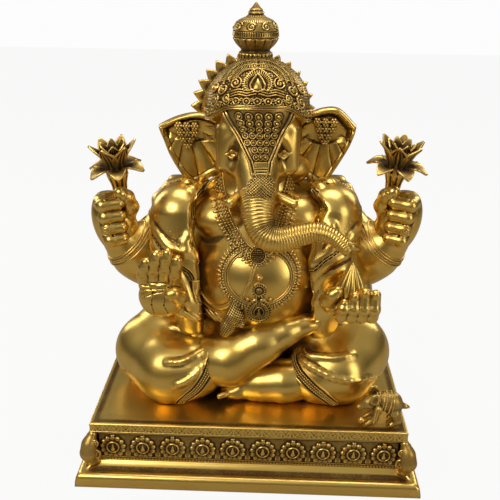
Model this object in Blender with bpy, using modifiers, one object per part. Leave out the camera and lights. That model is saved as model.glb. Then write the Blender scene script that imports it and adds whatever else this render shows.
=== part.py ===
"""A seated Ganesha idol in brass: a hollow plinth, a hollow seated figure and the small castings brazed to it.

Metres, +Z up. The origin is the middle of the plinth's underside and the figure faces -Y. "right" and "left" in
the names are the figure's own right (-X) and left (+X).
"""

import math

import bmesh
import bpy
from mathutils import Euler, Matrix, Vector

# Driving dimensions of the plinth
FOOT_X, FOOT_Y = 0.231, 0.172  # half width and half depth of the foot
PLATE_X, PLATE_Y = 0.212, 0.152  # half sizes of the top plate
BODY_X, BODY_Y = 0.206, 0.146  # half sizes of the panelled body
FOOT_H = 0.027  # height of the foot frame
PLATE_TOP = 0.0875  # height of the seat's surface
PLATE_H = 0.013  # thickness of the top plate
PANEL_T = 0.006  # casting thickness of a side panel
FRAME_IN = 0.024  # how far the foot frame reaches in under the panels

# Driving dimensions of the figure
WALL = 0.005  # casting thickness of the hollow figure
GAP = 0.0003  # what a brazed seam leaves between two castings
CLEAR = 0.0006  # how far a casting is cut back from the one that it meets
HEAD_X = 0.003  # the head stands this far to the figure's left of the middle
CROWN_PIVOT = Vector((HEAD_X, 0.004, 0.480))  # middle of the crown's rim
CROWN_R = 0.0700
CROWN_H = 0.066
CROWN_LEAN = math.radians(-8)  # the crown leans back
FINIAL_BASE = Vector((HEAD_X - 0.005, 0.018, 0.5472))
HALO_CENTRE = Vector((-0.002, 0.070, 0.4590))
HALO_R, HALO_TEETH = 0.0870, 30
EAR_T = 0.007  # thickness of an ear

# The bars brazed across the inside of the figure, and the bolts that hold them down on the plate
BAR_Y = (0.010, 0.048)
BAR_H, BAR_W = 0.008, 0.018
BOLT_X = 0.045
BOLT_R, BOLT_HEAD_R = 0.004, 0.0075

BRASS, BRONZE, STEEL = (0.66, 0.43, 0.12, 1), (0.36, 0.22, 0.07, 1), (0.45, 0.45, 0.46, 1)


# ------------------------------------------------------------------ scene, materials and collections


def new_collection(name):
    collection = bpy.data.collections.new(name)
    bpy.context.scene.collection.children.link(collection)
    return collection


def metal(name, colour, roughness):
    """A metal for one sub-part."""
    material = bpy.data.materials.new(name)
    material.use_nodes = True
    shader = material.node_tree.nodes["Principled BSDF"]
    shader.inputs["Base Color"].default_value = colour
    shader.inputs["Metallic"].default_value = 1.0
    shader.inputs["Roughness"].default_value = roughness
    return material


def polished(name):
    return metal(name + "_brass", BRASS, 0.22)


def antique(name):
    return metal(name + "_antique_brass", BRONZE, 0.38)


def steel(name):
    return metal(name + "_steel", STEEL, 0.45)


for old in list(bpy.data.objects):
    bpy.data.objects.remove(old)
PARTS = new_collection("ganesha_idol")
CUTTERS = new_collection("cutters")


# ------------------------------------------------------------------ meshes


def face_outwards(bm):
    """Turns the faces of closed bodies outwards."""
    bmesh.ops.recalc_face_normals(bm, faces=bm.faces)
    if bm.calc_volume(signed=True) < 0:
        bmesh.ops.reverse_faces(bm, faces=bm.faces)


def add_mesh(name, bm, material):
    """Makes an object from a bmesh and frees it."""
    face_outwards(bm)
    mesh = bpy.data.meshes.new(name)
    bm.to_mesh(mesh)
    bm.free()
    obj = bpy.data.objects.new(name, mesh)
    mesh.materials.append(material)
    PARTS.objects.link(obj)
    return obj


def bake(obj):
    """Replaces an object by the mesh that its modifiers or its curve make, in world coordinates."""
    bpy.context.view_layer.update()
    mesh = bpy.data.meshes.new_from_object(obj.evaluated_get(bpy.context.evaluated_depsgraph_get()))
    mesh.transform(obj.matrix_world)
    bm = bmesh.new()
    bm.from_mesh(mesh)
    bmesh.ops.remove_doubles(bm, verts=bm.verts, dist=1e-6)
    face_outwards(bm)
    bm.to_mesh(mesh)
    bm.free()
    name, home = obj.name, obj.users_collection[0]
    bpy.data.objects.remove(obj)
    made = bpy.data.objects.new(name, mesh)
    home.objects.link(made)
    return made


def keep_largest(obj):
    """Deletes the crumbs that a cut leaves, so that one closed body stays."""
    bm = bmesh.new()
    bm.from_mesh(obj.data)
    unseen, islands = set(bm.verts), []
    while unseen:
        stack = [unseen.pop()]
        island = list(stack)
        while stack:
            for edge in stack.pop().link_edges:
                for vert in edge.verts:
                    if vert in unseen:
                        unseen.discard(vert)
                        island.append(vert)
                        stack.append(vert)
        islands.append(island)
    islands.sort(key=len, reverse=True)
    crumbs = [vert for island in islands[1:] for vert in island]
    bmesh.ops.delete(bm, geom=crumbs, context="VERTS")
    face_outwards(bm)
    bm.to_mesh(obj.data)
    bm.free()
    return obj


def boolean(obj, other, operation="DIFFERENCE"):
    modifier = obj.modifiers.new("cut", "BOOLEAN")
    modifier.operation = operation
    modifier.object = other
    modifier.solver = "EXACT"
    return bake(obj)


def grown(obj, by):
    """A hidden copy of a casting that stands proud of it by a given amount, to cut its neighbour with."""
    cutter = bpy.data.objects.new("cutter_" + obj.name, obj.data.copy())
    CUTTERS.objects.link(cutter)
    modifier = cutter.modifiers.new("grow", "DISPLACE")
    modifier.strength = by
    modifier.mid_level = 0.0
    cutter = bake(cutter)
    cutter.hide_render = True
    cutter.display_type = "WIRE"
    return cutter


def fit(obj, *neighbours, by=CLEAR):
    """Cuts a casting back from its neighbours, so that a seam is left where they meet."""
    for neighbour in neighbours:
        cutter = grown(neighbour, by)
        obj = boolean(obj, cutter)
        bpy.data.objects.remove(cutter)
    return keep_largest(obj)


def cut_below(obj, height):
    """Cuts an object off level and closes the cut."""
    bm = bmesh.new()
    bm.from_mesh(obj.data)
    everything = list(bm.verts) + list(bm.edges) + list(bm.faces)
    bmesh.ops.bisect_plane(
        bm, geom=everything, dist=1e-5, plane_co=(0, 0, height), plane_no=(0, 0, -1), clear_outer=True
    )
    rim = [edge for edge in bm.edges if edge.is_boundary]
    bmesh.ops.holes_fill(bm, edges=rim)
    face_outwards(bm)
    bm.to_mesh(obj.data)
    bm.free()
    return obj


def smooth_shade(obj, degrees=40):
    obj.data.shade_smooth()
    obj.data.set_sharp_from_angle(angle=math.radians(degrees))
    return obj


# ------------------------------------------------------------------ rounded forms


def ball(bm, centre, radii, turn=(0, 0, 0), shrink=0.0):
    """An ellipsoid, turned by angles in degrees."""
    rotation = Euler([math.radians(angle) for angle in turn]).to_matrix().to_4x4()
    scale = Matrix.Diagonal([radius - shrink for radius in radii] + [1])
    place = Matrix.Translation(centre) @ rotation @ scale
    bmesh.ops.create_uvsphere(bm, u_segments=24, v_segments=14, radius=1, matrix=place)


def limb(bm, stations, shrink=0.0):
    """Rounded links through stations of (x, y, z, radius)."""
    for x, y, z, radius in stations:
        ball(bm, (x, y, z), (radius, radius, radius), shrink=shrink)
    for start, end in zip(stations, stations[1:]):
        head, tail = Vector(start[:3]), Vector(end[:3])
        axis = tail - head
        turn = Vector((0, 0, 1)).rotation_difference(axis).to_matrix().to_4x4()
        bmesh.ops.create_cone(
            bm,
            cap_ends=True,
            segments=20,
            radius1=start[3] - shrink,
            radius2=end[3] - shrink,
            depth=axis.length,
            matrix=Matrix.Translation((head + tail) / 2) @ turn,
        )


def fused(name, material, voxel, triangles, balls=(), limbs=(), shrink=0.0, smoothing=8):
    """One casting from ellipsoids and limbs that overlap: they are remeshed together and thinned out."""
    bm = bmesh.new()
    for form in balls:
        ball(bm, *form, shrink=shrink)
    for stations in limbs:
        limb(bm, stations, shrink=shrink)
    obj = add_mesh(name, bm, material)
    remesh = obj.modifiers.new("fuse", "REMESH")
    remesh.mode = "VOXEL"
    remesh.voxel_size = voxel
    smooth = obj.modifiers.new("soften", "SMOOTH")
    smooth.factor = 0.5
    smooth.iterations = smoothing
    obj = bake(obj)
    thin = obj.modifiers.new("thin_out", "DECIMATE")
    thin.ratio = min(1.0, triangles / (2 * len(obj.data.polygons)))
    return keep_largest(bake(obj))


def core_of(core_exit, triangles, balls=(), limbs=()):
    """What the mould's core leaves empty: the casting's forms a wall smaller, and a way out underneath."""
    core = fused("core", None, 0.005, triangles, balls, limbs, WALL)
    bm = bmesh.new()
    ball(bm, *core_exit)
    way_out = add_mesh("core_exit", bm, None)
    core = boolean(core, way_out, "UNION")
    bpy.data.objects.remove(way_out)
    return core


def hollowed(obj, core):
    obj = keep_largest(boolean(obj, core))
    bpy.data.objects.remove(core)
    return obj


def tube(name, material, points, radii, sides=2, cyclic=False):
    """A round bar along points, with a radius at each of them."""
    curve = bpy.data.curves.new(name, "CURVE")
    curve.dimensions = "3D"
    curve.bevel_depth = 1.0
    curve.bevel_resolution = sides
    curve.use_fill_caps = True
    spline = curve.splines.new("POLY")
    spline.points.add(len(points) - 1)
    for target, point, radius in zip(spline.points, points, radii):
        target.co = (*point, 1)
        target.radius = radius
    spline.use_cyclic_u = cyclic
    curve.materials.append(material)
    obj = bpy.data.objects.new(name, curve)
    PARTS.objects.link(obj)
    return bake(obj)


def smooth_path(points, steps=3):
    """A Catmull-Rom curve through tuples of any length, with some steps in each span."""
    nodes = [points[0], *points, points[-1]]
    path = []
    for before, start, end, after in zip(nodes, nodes[1:], nodes[2:], nodes[3:]):
        for step in range(steps):
            t = step / steps
            weights = (
                -0.5 * t + t * t - 0.5 * t**3,
                1 - 2.5 * t * t + 1.5 * t**3,
                0.5 * t + 2 * t * t - 1.5 * t**3,
                -0.5 * t * t + 0.5 * t**3,
            )
            corners = zip(before, start, end, after)
            path.append(tuple(sum(w * c for w, c in zip(weights, corner)) for corner in corners))
    return path + [points[-1]]


def slab(name, material, outline, thickness, place):
    """A flat outline of (x, z) points given a thickness along Y, then placed."""
    curve = bpy.data.curves.new(name, "CURVE")
    curve.dimensions = "2D"
    curve.fill_mode = "BOTH"
    curve.extrude = thickness / 2
    spline = curve.splines.new("POLY")
    spline.points.add(len(outline) - 1)
    for target, (x, z) in zip(spline.points, outline):
        target.co = (x, z, 0, 1)
    spline.use_cyclic_u = True
    curve.materials.append(material)
    obj = bpy.data.objects.new(name, curve)
    PARTS.objects.link(obj)
    obj.matrix_world = place @ Matrix.Rotation(math.radians(90), 4, "X")
    return bake(obj)


def turned(name, material, profile, place, steps=28):
    """A solid of revolution from (radius, height) points that run from the top down."""
    bm = bmesh.new()
    verts = [bm.verts.new((radius, 0, height)) for radius, height in profile]
    for upper, lower in zip(verts, verts[1:]):
        bm.edges.new((upper, lower))
    mesh = bpy.data.meshes.new(name)
    bm.to_mesh(mesh)
    bm.free()
    mesh.materials.append(material)
    obj = bpy.data.objects.new(name, mesh)
    PARTS.objects.link(obj)
    screw = obj.modifiers.new("turn", "SCREW")
    screw.steps = steps
    screw.render_steps = steps
    screw.use_merge_vertices = True
    screw.merge_threshold = 1e-5
    obj.matrix_world = place
    return bake(obj)


def box(name, material, low, high, bevel=0.0):
    """A block between two corners, with its edges rounded off."""
    bm = bmesh.new()
    size = Vector(high) - Vector(low)
    place = Matrix.Translation((Vector(high) + Vector(low)) / 2) @ Matrix.Diagonal((*size, 1))
    bmesh.ops.create_cube(bm, size=1, matrix=place)
    obj = add_mesh(name, bm, material)
    if bevel:
        rounding = obj.modifiers.new("rounding", "BEVEL")
        rounding.width = bevel
        rounding.segments = 2
    return bake(obj)


def square_frame(name, material, section, half_x, half_y):
    """A closed section of (outward, height) points carried round a rectangle."""
    bm = bmesh.new()
    rings = []
    for outward, height in section:
        place = Matrix.Translation((0, 0, height)) @ Matrix.Diagonal((half_x + outward, half_y + outward, 1, 1))
        corner = bmesh.ops.create_circle(
            bm, segments=4, radius=math.sqrt(2), matrix=place @ Matrix.Rotation(math.radians(45), 4, "Z")
        )
        rings.append(corner["verts"])
    for ring, following in zip(rings, rings[1:] + rings[:1]):
        for side in range(4):
            after = (side + 1) % 4
            bm.faces.new((ring[side], ring[after], following[after], following[side]))
    return add_mesh(name, bm, material)


# ------------------------------------------------------------------ plinth


def make_foot_frame():
    reach = FOOT_X - BODY_X
    section = (
        (0.0, 0.0),
        (0.0, 0.010),
        (-0.004, 0.016),
        (-reach + 0.006, 0.021),
        (-reach + 0.001, FOOT_H),
        (-reach - 0.010, FOOT_H),
        (-reach - 0.010, FOOT_H - 0.008),
        (-FRAME_IN - 0.012, 0.008),
        (-FRAME_IN - 0.012, 0.0),
    )
    return square_frame("base_foot_frame", polished("base_foot_frame"), section, FOOT_X, FOOT_Y)


def make_panels():
    """Four panels that stand on the foot frame. The front and back ones run between the side ones."""
    low, high = FOOT_H + GAP, PLATE_TOP - PLATE_H - GAP
    long_x = BODY_X - PANEL_T - GAP
    made = []
    for name, sign in (("base_front_panel", -1), ("base_back_panel", 1)):
        inner, outer = sign * (BODY_Y - PANEL_T), sign * BODY_Y
        corners = (-long_x, min(inner, outer), low), (long_x, max(inner, outer), high)
        made.append(box(name, antique(name), *corners))
    for name, sign in (("base_right_panel", -1), ("base_left_panel", 1)):
        inner, outer = sign * (BODY_X - PANEL_T), sign * BODY_X
        corners = (min(inner, outer), -BODY_Y, low), (max(inner, outer), BODY_Y, high)
        made.append(box(name, antique(name), *corners))
    return made


def make_plate():
    """The seat plate, with a moulded edge and four holes for the anchor bolts."""
    plate = box(
        "base_top_plate",
        polished("base_top_plate"),
        (-PLATE_X, -PLATE_Y, PLATE_TOP - PLATE_H),
        (PLATE_X, PLATE_Y, PLATE_TOP),
        bevel=0.003,
    )
    for x, y in bolt_places():
        plate = drilled(plate, x, y, PLATE_TOP)
    return plate


def make_corner_scrolls(*walls):
    """A bulged scroll bracket on each corner, from the foot up to the plate."""
    made = []
    for front, y_sign in (("front", -1), ("back", 1)):
        for side, x_sign in (("right", -1), ("left", 1)):
            name = f"corner_scroll_{front}_{side}"
            x, y = x_sign * (BODY_X + 0.0045), y_sign * (BODY_Y + 0.0045)
            stations = [
                (x, y, FOOT_H + 0.006, 0.0090),
                (x + x_sign * 0.003, y + y_sign * 0.003, FOOT_H + 0.018, 0.0105),
                (x + x_sign * 0.001, y + y_sign * 0.001, FOOT_H + 0.032, 0.0085),
                (x - x_sign * 0.002, y - y_sign * 0.002, PLATE_TOP - PLATE_H - 0.006, 0.0060),
            ]
            scroll = fused(name, antique(name), 0.0016, 110, limbs=[stations])
            made.append(fit(scroll, *walls))
    return made


# ------------------------------------------------------------------ fixings inside


def bolt_places():
    return [(x, y) for y in BAR_Y for x in (-BOLT_X, BOLT_X)]


def drilled(obj, x, y, height):
    """Drills an upright hole for an anchor bolt through a piece."""
    reach, radius = 0.02, BOLT_R + GAP
    profile = ((0, reach), (radius, reach), (radius, -reach), (0, -reach))
    drill = turned("drill", None, profile, Matrix.Translation((x, y, height)), steps=12)
    obj = boolean(obj, drill)
    bpy.data.objects.remove(drill)
    return obj


def make_fixings(torso_core):
    """Two bars brazed across the figure's inside are drawn down on the seat plate by bolts from below."""
    bar_low = PLATE_TOP + GAP
    for name, y in zip(("anchor_bar_front", "anchor_bar_back"), BAR_Y):
        low, high = (-0.1, y - BAR_W / 2, bar_low), (0.1, y + BAR_W / 2, bar_low + BAR_H)
        room = grown(torso_core, -GAP)
        bar = keep_largest(boolean(box(name, steel(name), low, high), room, "INTERSECT"))
        bpy.data.objects.remove(room)
        for x in (-BOLT_X, BOLT_X):
            bar = drilled(bar, x, y, bar_low)
    head_top = PLATE_TOP - PLATE_H - GAP
    nut_low = bar_low + BAR_H + GAP
    nut_high = nut_low + 0.006
    nut_bore = (BOLT_R + GAP) / math.cos(math.radians(30))  # six-sided, so that it clears the round shank
    for number, (x, y) in enumerate(bolt_places(), 1):
        place = Matrix.Translation((x, y, 0))
        profile = (
            (0, nut_high + 0.002),
            (BOLT_R, nut_high + 0.002),
            (BOLT_R, head_top),
            (BOLT_HEAD_R, head_top),
            (BOLT_HEAD_R, head_top - 0.005),
            (0, head_top - 0.005),
        )
        name = f"anchor_bolt_{number}"
        turned(name, steel(name), profile, place, steps=12)
        profile = (
            (nut_bore, nut_high),
            (BOLT_HEAD_R, nut_high),
            (BOLT_HEAD_R, nut_low),
            (nut_bore, nut_low),
            (nut_bore, nut_high),
        )
        name = f"anchor_nut_{number}"
        turned(name, steel(name), profile, place, steps=6)


# ------------------------------------------------------------------ the seated figure


TORSO_BALLS = (
    ((0.004, 0.030, 0.140), (0.112, 0.082, 0.080)),
    ((0.008, -0.016, 0.262), (0.088, 0.083, 0.086)),
    ((0.006, 0.000, 0.200), (0.088, 0.070, 0.070)),
    ((0.004, 0.014, 0.322), (0.100, 0.058, 0.058)),
    ((-0.048, -0.018, 0.333), (0.036, 0.036, 0.033)),
    ((0.058, -0.018, 0.340), (0.036, 0.036, 0.033)),
    ((0.003, 0.014, 0.375), (0.052, 0.046, 0.045)),
)
RIGHT_LEG = (
    [(-0.050, 0.035, 0.155, 0.064), (-0.105, -0.002, 0.147, 0.059), (-0.150, -0.028, 0.137, 0.048)],
    [(-0.150, -0.028, 0.137, 0.048), (-0.115, -0.062, 0.130, 0.046), (-0.072, -0.074, 0.135, 0.042)],
)
LEFT_LEG = (
    [(0.055, 0.035, 0.160, 0.064), (0.108, -0.002, 0.153, 0.060), (0.150, -0.024, 0.141, 0.050)],
    [(0.150, -0.024, 0.141, 0.050), (0.125, -0.058, 0.132, 0.046), (0.088, -0.070, 0.124, 0.038)],
)
RIGHT_SHIN = (
    [(-0.070, -0.072, 0.138, 0.036), (-0.020, -0.080, 0.152, 0.031), (0.028, -0.074, 0.178, 0.023)],
    [(0.028, -0.074, 0.178, 0.023), (0.058, -0.068, 0.192, 0.018), (0.084, -0.062, 0.200, 0.012)],
)
LEFT_SHIN = (
    [(0.078, -0.072, 0.120, 0.030), (0.030, -0.070, 0.111, 0.023), (-0.005, -0.074, 0.106, 0.018)],
    [(-0.005, -0.074, 0.106, 0.018), (-0.034, -0.088, 0.100, 0.011)],
)
REAR_ARM_RIGHT = [
    (-0.098, 0.025, 0.338, 0.036),
    (-0.128, 0.014, 0.285, 0.032),
    (-0.150, 0.002, 0.243, 0.029),
    (-0.172, -0.010, 0.272, 0.0265),
    (-0.184, -0.018, 0.296, 0.024),
]
REAR_ARM_LEFT = [
    (0.102, 0.025, 0.343, 0.036),
    (0.132, 0.014, 0.293, 0.032),
    (0.156, 0.002, 0.253, 0.029),
    (0.177, -0.010, 0.281, 0.0265),
    (0.190, -0.018, 0.305, 0.024),
]
FRONT_ARM_RIGHT = [(-0.088, -0.004, 0.325, 0.034), (-0.118, -0.022, 0.245, 0.030), (-0.122, -0.074, 0.236, 0.021)]
FRONT_ARM_LEFT = [(0.096, -0.004, 0.330, 0.034), (0.126, -0.022, 0.250, 0.030), (0.138, -0.074, 0.245, 0.022)]


def make_torso():
    name = "torso"
    torso = fused(name, polished(name), 0.005, 720, TORSO_BALLS)
    return cut_below(torso, PLATE_TOP + GAP)


def make_leg(name, limbs, *neighbours):
    leg = fused(name, polished(name), 0.004, 400, limbs=limbs)
    return fit(cut_below(leg, PLATE_TOP + GAP), *neighbours)


def make_fist(name, x_sign, wrist, grip, *neighbours):
    """A closed fist round the lotus's stem: palm, four fingers across the front and the thumb on top."""
    x, y, z = grip
    balls = [((x, y, z + 0.002), (0.024, 0.020, 0.034))]
    fingers = []
    for level in range(4):
        height = z + 0.024 - 0.0165 * level
        outer = x + x_sign * (0.022 - 0.002 * abs(level - 1.5))
        inner = x - x_sign * (0.014 - 0.001 * level)
        fingers.append(
            [(outer, y - 0.006, height, 0.0088), (x, y - 0.024, height, 0.0082), (inner, y - 0.017, height, 0.0074)]
        )
    thumb = [
        (x - x_sign * 0.018, y - 0.004, z + 0.004, 0.0085),
        (x - x_sign * 0.024, y - 0.012, z + 0.026, 0.0080),
        (x - x_sign * 0.019, y - 0.017, z + 0.037, 0.0072),
    ]
    heel = [(*wrist[:3], wrist[3]), (x, y, z - 0.012, 0.021)]
    fist = fused(name, polished(name), 0.0022, 320, balls, [*fingers, thumb, heel], smoothing=3)
    return fit(fist, *neighbours)


def make_lotus(name, x_sign, base, *neighbours):
    """A lotus bud: a cup, six petals standing up and five below them that droop."""
    centre = Vector(base)
    lean = Euler((math.radians(6), math.radians(4 * x_sign), 0)).to_matrix()
    stem = [(*(centre + lean @ Vector((0, 0, z))), radius) for z, radius in ((-0.012, 0.007), (0.012, 0.0125))]
    balls = [(tuple(centre + lean @ Vector((0, 0, 0.034))), (0.018, 0.018, 0.017))]
    limbs = [stem]
    for count, reach, top, width in ((6, 0.028, 0.056, 0.0060), (5, 0.031, 0.019, 0.0048)):
        for petal in range(count):
            angle = math.tau * (petal + 0.25 * (count == 5)) / count
            out = Vector((math.cos(angle), math.sin(angle), 0))
            root = centre + lean @ (out * 0.010 + Vector((0, 0, 0.030)))
            middle = centre + lean @ (out * (reach * 0.75) + Vector((0, 0, (0.030 + top) / 2 + 0.003)))
            tip = centre + lean @ (out * reach + Vector((0, 0, top)))
            limbs.append([(*root, width), (*middle, width), (*tip, 0.0022)])
    lotus = fused(name, antique(name), 0.0017, 380, balls, limbs, smoothing=2)
    return fit(lotus, *neighbours)


def make_blessing_hand(*neighbours):
    """The right front hand, palm to the front and fingers up."""
    fingers = [
        [(-0.137, -0.090, 0.262, 0.0085), (-0.1375, -0.094, 0.285, 0.0078), (-0.133, -0.097, 0.299, 0.0066)],
        [(-0.126, -0.090, 0.268, 0.0088), (-0.124, -0.094, 0.295, 0.0080), (-0.1205, -0.097, 0.309, 0.0068)],
        [(-0.114, -0.090, 0.268, 0.0088), (-0.109, -0.094, 0.297, 0.0080), (-0.1055, -0.097, 0.312, 0.0068)],
        [(-0.101, -0.088, 0.262, 0.0088), (-0.097, -0.092, 0.288, 0.0080), (-0.0945, -0.096, 0.302, 0.0068)],
    ]
    thumb = [(-0.104, -0.088, 0.240, 0.0120), (-0.094, -0.097, 0.252, 0.0095), (-0.098, -0.105, 0.264, 0.0070)]
    balls = [((-0.119, -0.088, 0.252), (0.028, 0.015, 0.026))]
    name = "right_front_hand"
    return fit(fused(name, polished(name), 0.0022, 360, balls, [*fingers, thumb], smoothing=3), *neighbours)


def make_offering_hand(*neighbours):
    """The left front hand, turned up, with its fingers curled round the sweet."""
    fingers = []
    for number in range(4):
        x = 0.118 + 0.0145 * number
        top = 0.262 + 0.004 * number
        fingers.append(
            [(x - 0.002, -0.088, 0.236, 0.0092), (x, -0.114, 0.241, 0.0080), (x + 0.001, -0.116, top, 0.0070)]
        )
    thumb = [(0.112, -0.080, 0.242, 0.012), (0.104, -0.098, 0.258, 0.0095), (0.112, -0.108, 0.270, 0.0070)]
    balls = [((0.138, -0.086, 0.241), (0.030, 0.020, 0.015))]
    name = "left_front_hand"
    return fit(fused(name, polished(name), 0.0022, 360, balls, [*fingers, thumb], smoothing=3), *neighbours)


def make_modak(*neighbours):
    """The pleated sweet: a turned drop with a point."""
    profile = ((0, 0.0), (0.0035, -0.006), (0.0115, -0.022), (0.0170, -0.036), (0.0140, -0.046), (0, -0.050))
    sweet = turned("modak", antique("modak"), profile, Matrix.Translation((0.129, -0.096, 0.305)), steps=14)
    return fit(sweet, *neighbours)


HEAD_BALLS = (
    ((0.003, 0.002, 0.445), (0.060, 0.058, 0.058)),
    ((0.004, -0.020, 0.425), (0.050, 0.046, 0.052)),
    ((0.004, -0.030, 0.400), (0.036, 0.042, 0.040)),
)
TRUNK_PATH = (
    (0.005, -0.052, 0.400, 0.0290),
    (0.006, -0.078, 0.380, 0.0240),
    (0.008, -0.096, 0.358, 0.0195),
    (0.020, -0.108, 0.337, 0.0170),
    (0.042, -0.112, 0.327, 0.0150),
    (0.066, -0.112, 0.335, 0.0125),
    (0.088, -0.112, 0.346, 0.0105),
    (0.104, -0.113, 0.343, 0.0090),
    (0.113, -0.114, 0.330, 0.0085),
)


def make_head(torso):
    name = "head"
    return fit(fused(name, polished(name), 0.004, 380, HEAD_BALLS), torso)


def make_trunk(head, torso):
    path = smooth_path(TRUNK_PATH, 2)
    points, radii = [station[:3] for station in path], [station[3] for station in path]
    trunk = tube("trunk", polished("trunk"), points, radii, sides=2)
    return fit(trunk, head, torso)


def ear_outline(x_sign):
    """The ear's edge from the head's side: square at the top corner, pointed at the bottom."""
    corners = (
        (0.044, 0.462), (0.078, 0.474), (0.130, 0.453), (0.127, 0.432), (0.112, 0.400),
        (0.094, 0.370), (0.076, 0.366), (0.058, 0.386), (0.045, 0.410),
    )
    outline = [(x_sign * x, z - HALO_CENTRE.z) for x, z in corners]
    return outline if x_sign > 0 else outline[::-1]


def make_ear(name, x_sign, *neighbours):
    """An ear, spread flat and turned a little forward at its outer edge."""
    place = Matrix.Translation((HEAD_X - 0.001, 0.018, HALO_CENTRE.z))
    place = place @ Matrix.Rotation(math.radians(-6 * x_sign), 4, "Z") @ Matrix.Rotation(math.radians(-6), 4, "X")
    ear = slab(name, polished(name), ear_outline(x_sign), EAR_T, place)
    return fit(ear, *neighbours)


def make_ear_flower(name, x_sign, *neighbours):
    """The cluster of blossoms that hangs from the top of an ear."""
    centre = Vector((HEAD_X + x_sign * 0.088, 0.005, 0.443))
    balls = [(tuple(centre), (0.012, 0.006, 0.014))]
    for petal in range(6):
        angle = math.tau * petal / 6
        at = centre + Vector((0.0095 * math.cos(angle), -0.001, 0.0115 * math.sin(angle)))
        balls.append((tuple(at), (0.0058, 0.0052, 0.0058)))
    return fit(fused(name, antique(name), 0.0014, 140, balls, smoothing=2), *neighbours)


def make_tusk(name, points, radius, *neighbours):
    stations = [(*point, radius) for point in points]
    tusk = tube(name, polished(name), [s[:3] for s in stations], [s[3] for s in stations], sides=2)
    return fit(tusk, *neighbours)


def crown_place():
    return Matrix.Translation(CROWN_PIVOT) @ Matrix.Rotation(CROWN_LEAN, 4, "X")


def make_crown(*neighbours):
    profile = [(0, CROWN_H)]
    for step in range(1, 7):
        angle = math.radians(15 * step)
        profile.append((0.002 + (CROWN_R - 0.002) * math.sin(angle) ** 0.92, CROWN_H * math.cos(angle) ** 0.9))
    profile += [(CROWN_R, -0.004), (CROWN_R - 0.001, -0.012), (CROWN_R - 0.008, -0.014), (0, -0.014)]
    crown = turned("crown_dome", antique("crown_dome"), profile, crown_place(), steps=24)
    return fit(crown, *neighbours)


def make_finial(*neighbours):
    """Collar, squat ball, cap and point."""
    profile = (
        (0, 0.0635), (0.0016, 0.0600), (0.0042, 0.0530), (0.0072, 0.0490), (0.0105, 0.0450), (0.0115, 0.0410),
        (0.0210, 0.0370), (0.0275, 0.0290), (0.0292, 0.0220), (0.0275, 0.0150), (0.0210, 0.0080), (0.0185, 0.0040),
        (0.0215, 0.0015), (0.0215, -0.006), (0, -0.008),
    )
    finial = turned("crown_finial", antique("crown_finial"), profile, Matrix.Translation(FINIAL_BASE), steps=16)
    return fit(finial, *neighbours)


def make_halo(*neighbours):
    """The disc behind the crown, with a saw-toothed edge."""
    outline = []
    for tooth in range(HALO_TEETH):
        for radius, share in ((HALO_R, 0.0), (HALO_R - 0.008, 0.5)):
            angle = math.tau * (tooth + share) / HALO_TEETH
            outline.append((radius * math.cos(angle), radius * math.sin(angle)))
    disc = slab("halo_disc", antique("halo_disc"), outline, 0.006, Matrix.Translation(HALO_CENTRE))
    return fit(disc, *neighbours)


def make_forehead_plate(*neighbours):
    """The beaded shield on the forehead, a thick skin of the head and trunk."""
    stations = [(0.003, -0.048, 0.466, 0.023), (0.005, -0.056, 0.444, 0.019), (0.006, -0.062, 0.415, 0.013)]
    name = "forehead_shield"
    return fit(fused(name, antique(name), 0.002, 140, limbs=[stations], smoothing=4), *neighbours)


def make_shawl(name, rear_arm, front_arm, hang, *neighbours):
    """The shawl on one side: a skin over the shoulder and both upper arms, with its end hanging to the lap."""
    cover = 0.006
    rear = [(x, y, z, radius + cover) for x, y, z, radius in rear_arm[:3]]
    front = [(x, y, z, radius + cover) for x, y, z, radius in front_arm[:2]]
    shawl = fused(name, polished(name), 0.003, 300, limbs=[rear, front, hang], smoothing=5)
    return fit(cut_below(shawl, 0.165), *neighbours)


def front_of(obj, x, z):
    """Where a level ray from the front meets a casting, as y."""
    hit, place, _, _ = obj.ray_cast((x, -0.5, z), (0, 1, 0))
    return place.y


def draped(obj, path, lift=0.0):
    """Points over (x, z) pairs that lie on a casting's front, moved out by a little."""
    return [(x, front_of(obj, x, z) - lift, z) for x, z in path]


def make_garland(torso, *neighbours):
    """The long garland: a ring on the belly, with both strands running up to the shoulders."""
    path = [(-0.046, 0.362), (-0.039, 0.346), (-0.031, 0.328)]
    for step in range(13):
        angle = math.radians(122 + 296 * step / 12)
        path.append((0.010 + 0.047 * math.cos(angle), 0.280 + 0.041 * math.sin(angle)))
    path += [(0.048, 0.328), (0.053, 0.346), (0.058, 0.362)]
    points = draped(torso, path, 0.001)
    garland = tube("long_garland", antique("long_garland"), points, [0.0050] * len(points), sides=2)
    return fit(garland, torso, *neighbours)


def make_thread(torso, *neighbours):
    """The sacred thread, a slanting cord on the belly."""
    path = [(0.018 - 0.042 * step / 6, 0.300 - 0.072 * step / 6) for step in range(7)]
    points = draped(torso, path)
    thread = tube("sacred_thread", antique("sacred_thread"), points, [0.0024] * len(points), sides=1)
    return fit(thread, torso, *neighbours, by=0.0004)


def make_pendant(torso, *neighbours):
    """The tall pendant: a ball, a round boss and an oval medallion."""
    x = 0.010
    sizes = ((0.283, (0.0048, 0.0048, 0.0055)), (0.268, (0.0085, 0.0070, 0.0105)), (0.240, (0.0150, 0.0080, 0.0190)))
    balls = [((x, front_of(torso, x, z) - 0.002, z), radii) for z, radii in sizes]
    name = "tall_pendant"
    return fit(fused(name, antique(name), 0.0014, 150, balls, smoothing=2), torso, *neighbours)


def make_sash(*neighbours):
    """The knotted sash at the waist, on the figure's right."""
    stations = [
        (-0.050, -0.060, 0.215, 0.010), (-0.036, -0.074, 0.205, 0.011), (-0.020, -0.084, 0.218, 0.009),
        (-0.014, -0.090, 0.232, 0.007),
    ]
    name = "waist_sash"
    return fit(fused(name, antique(name), 0.002, 110, limbs=[stations], smoothing=3), *neighbours)


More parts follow.
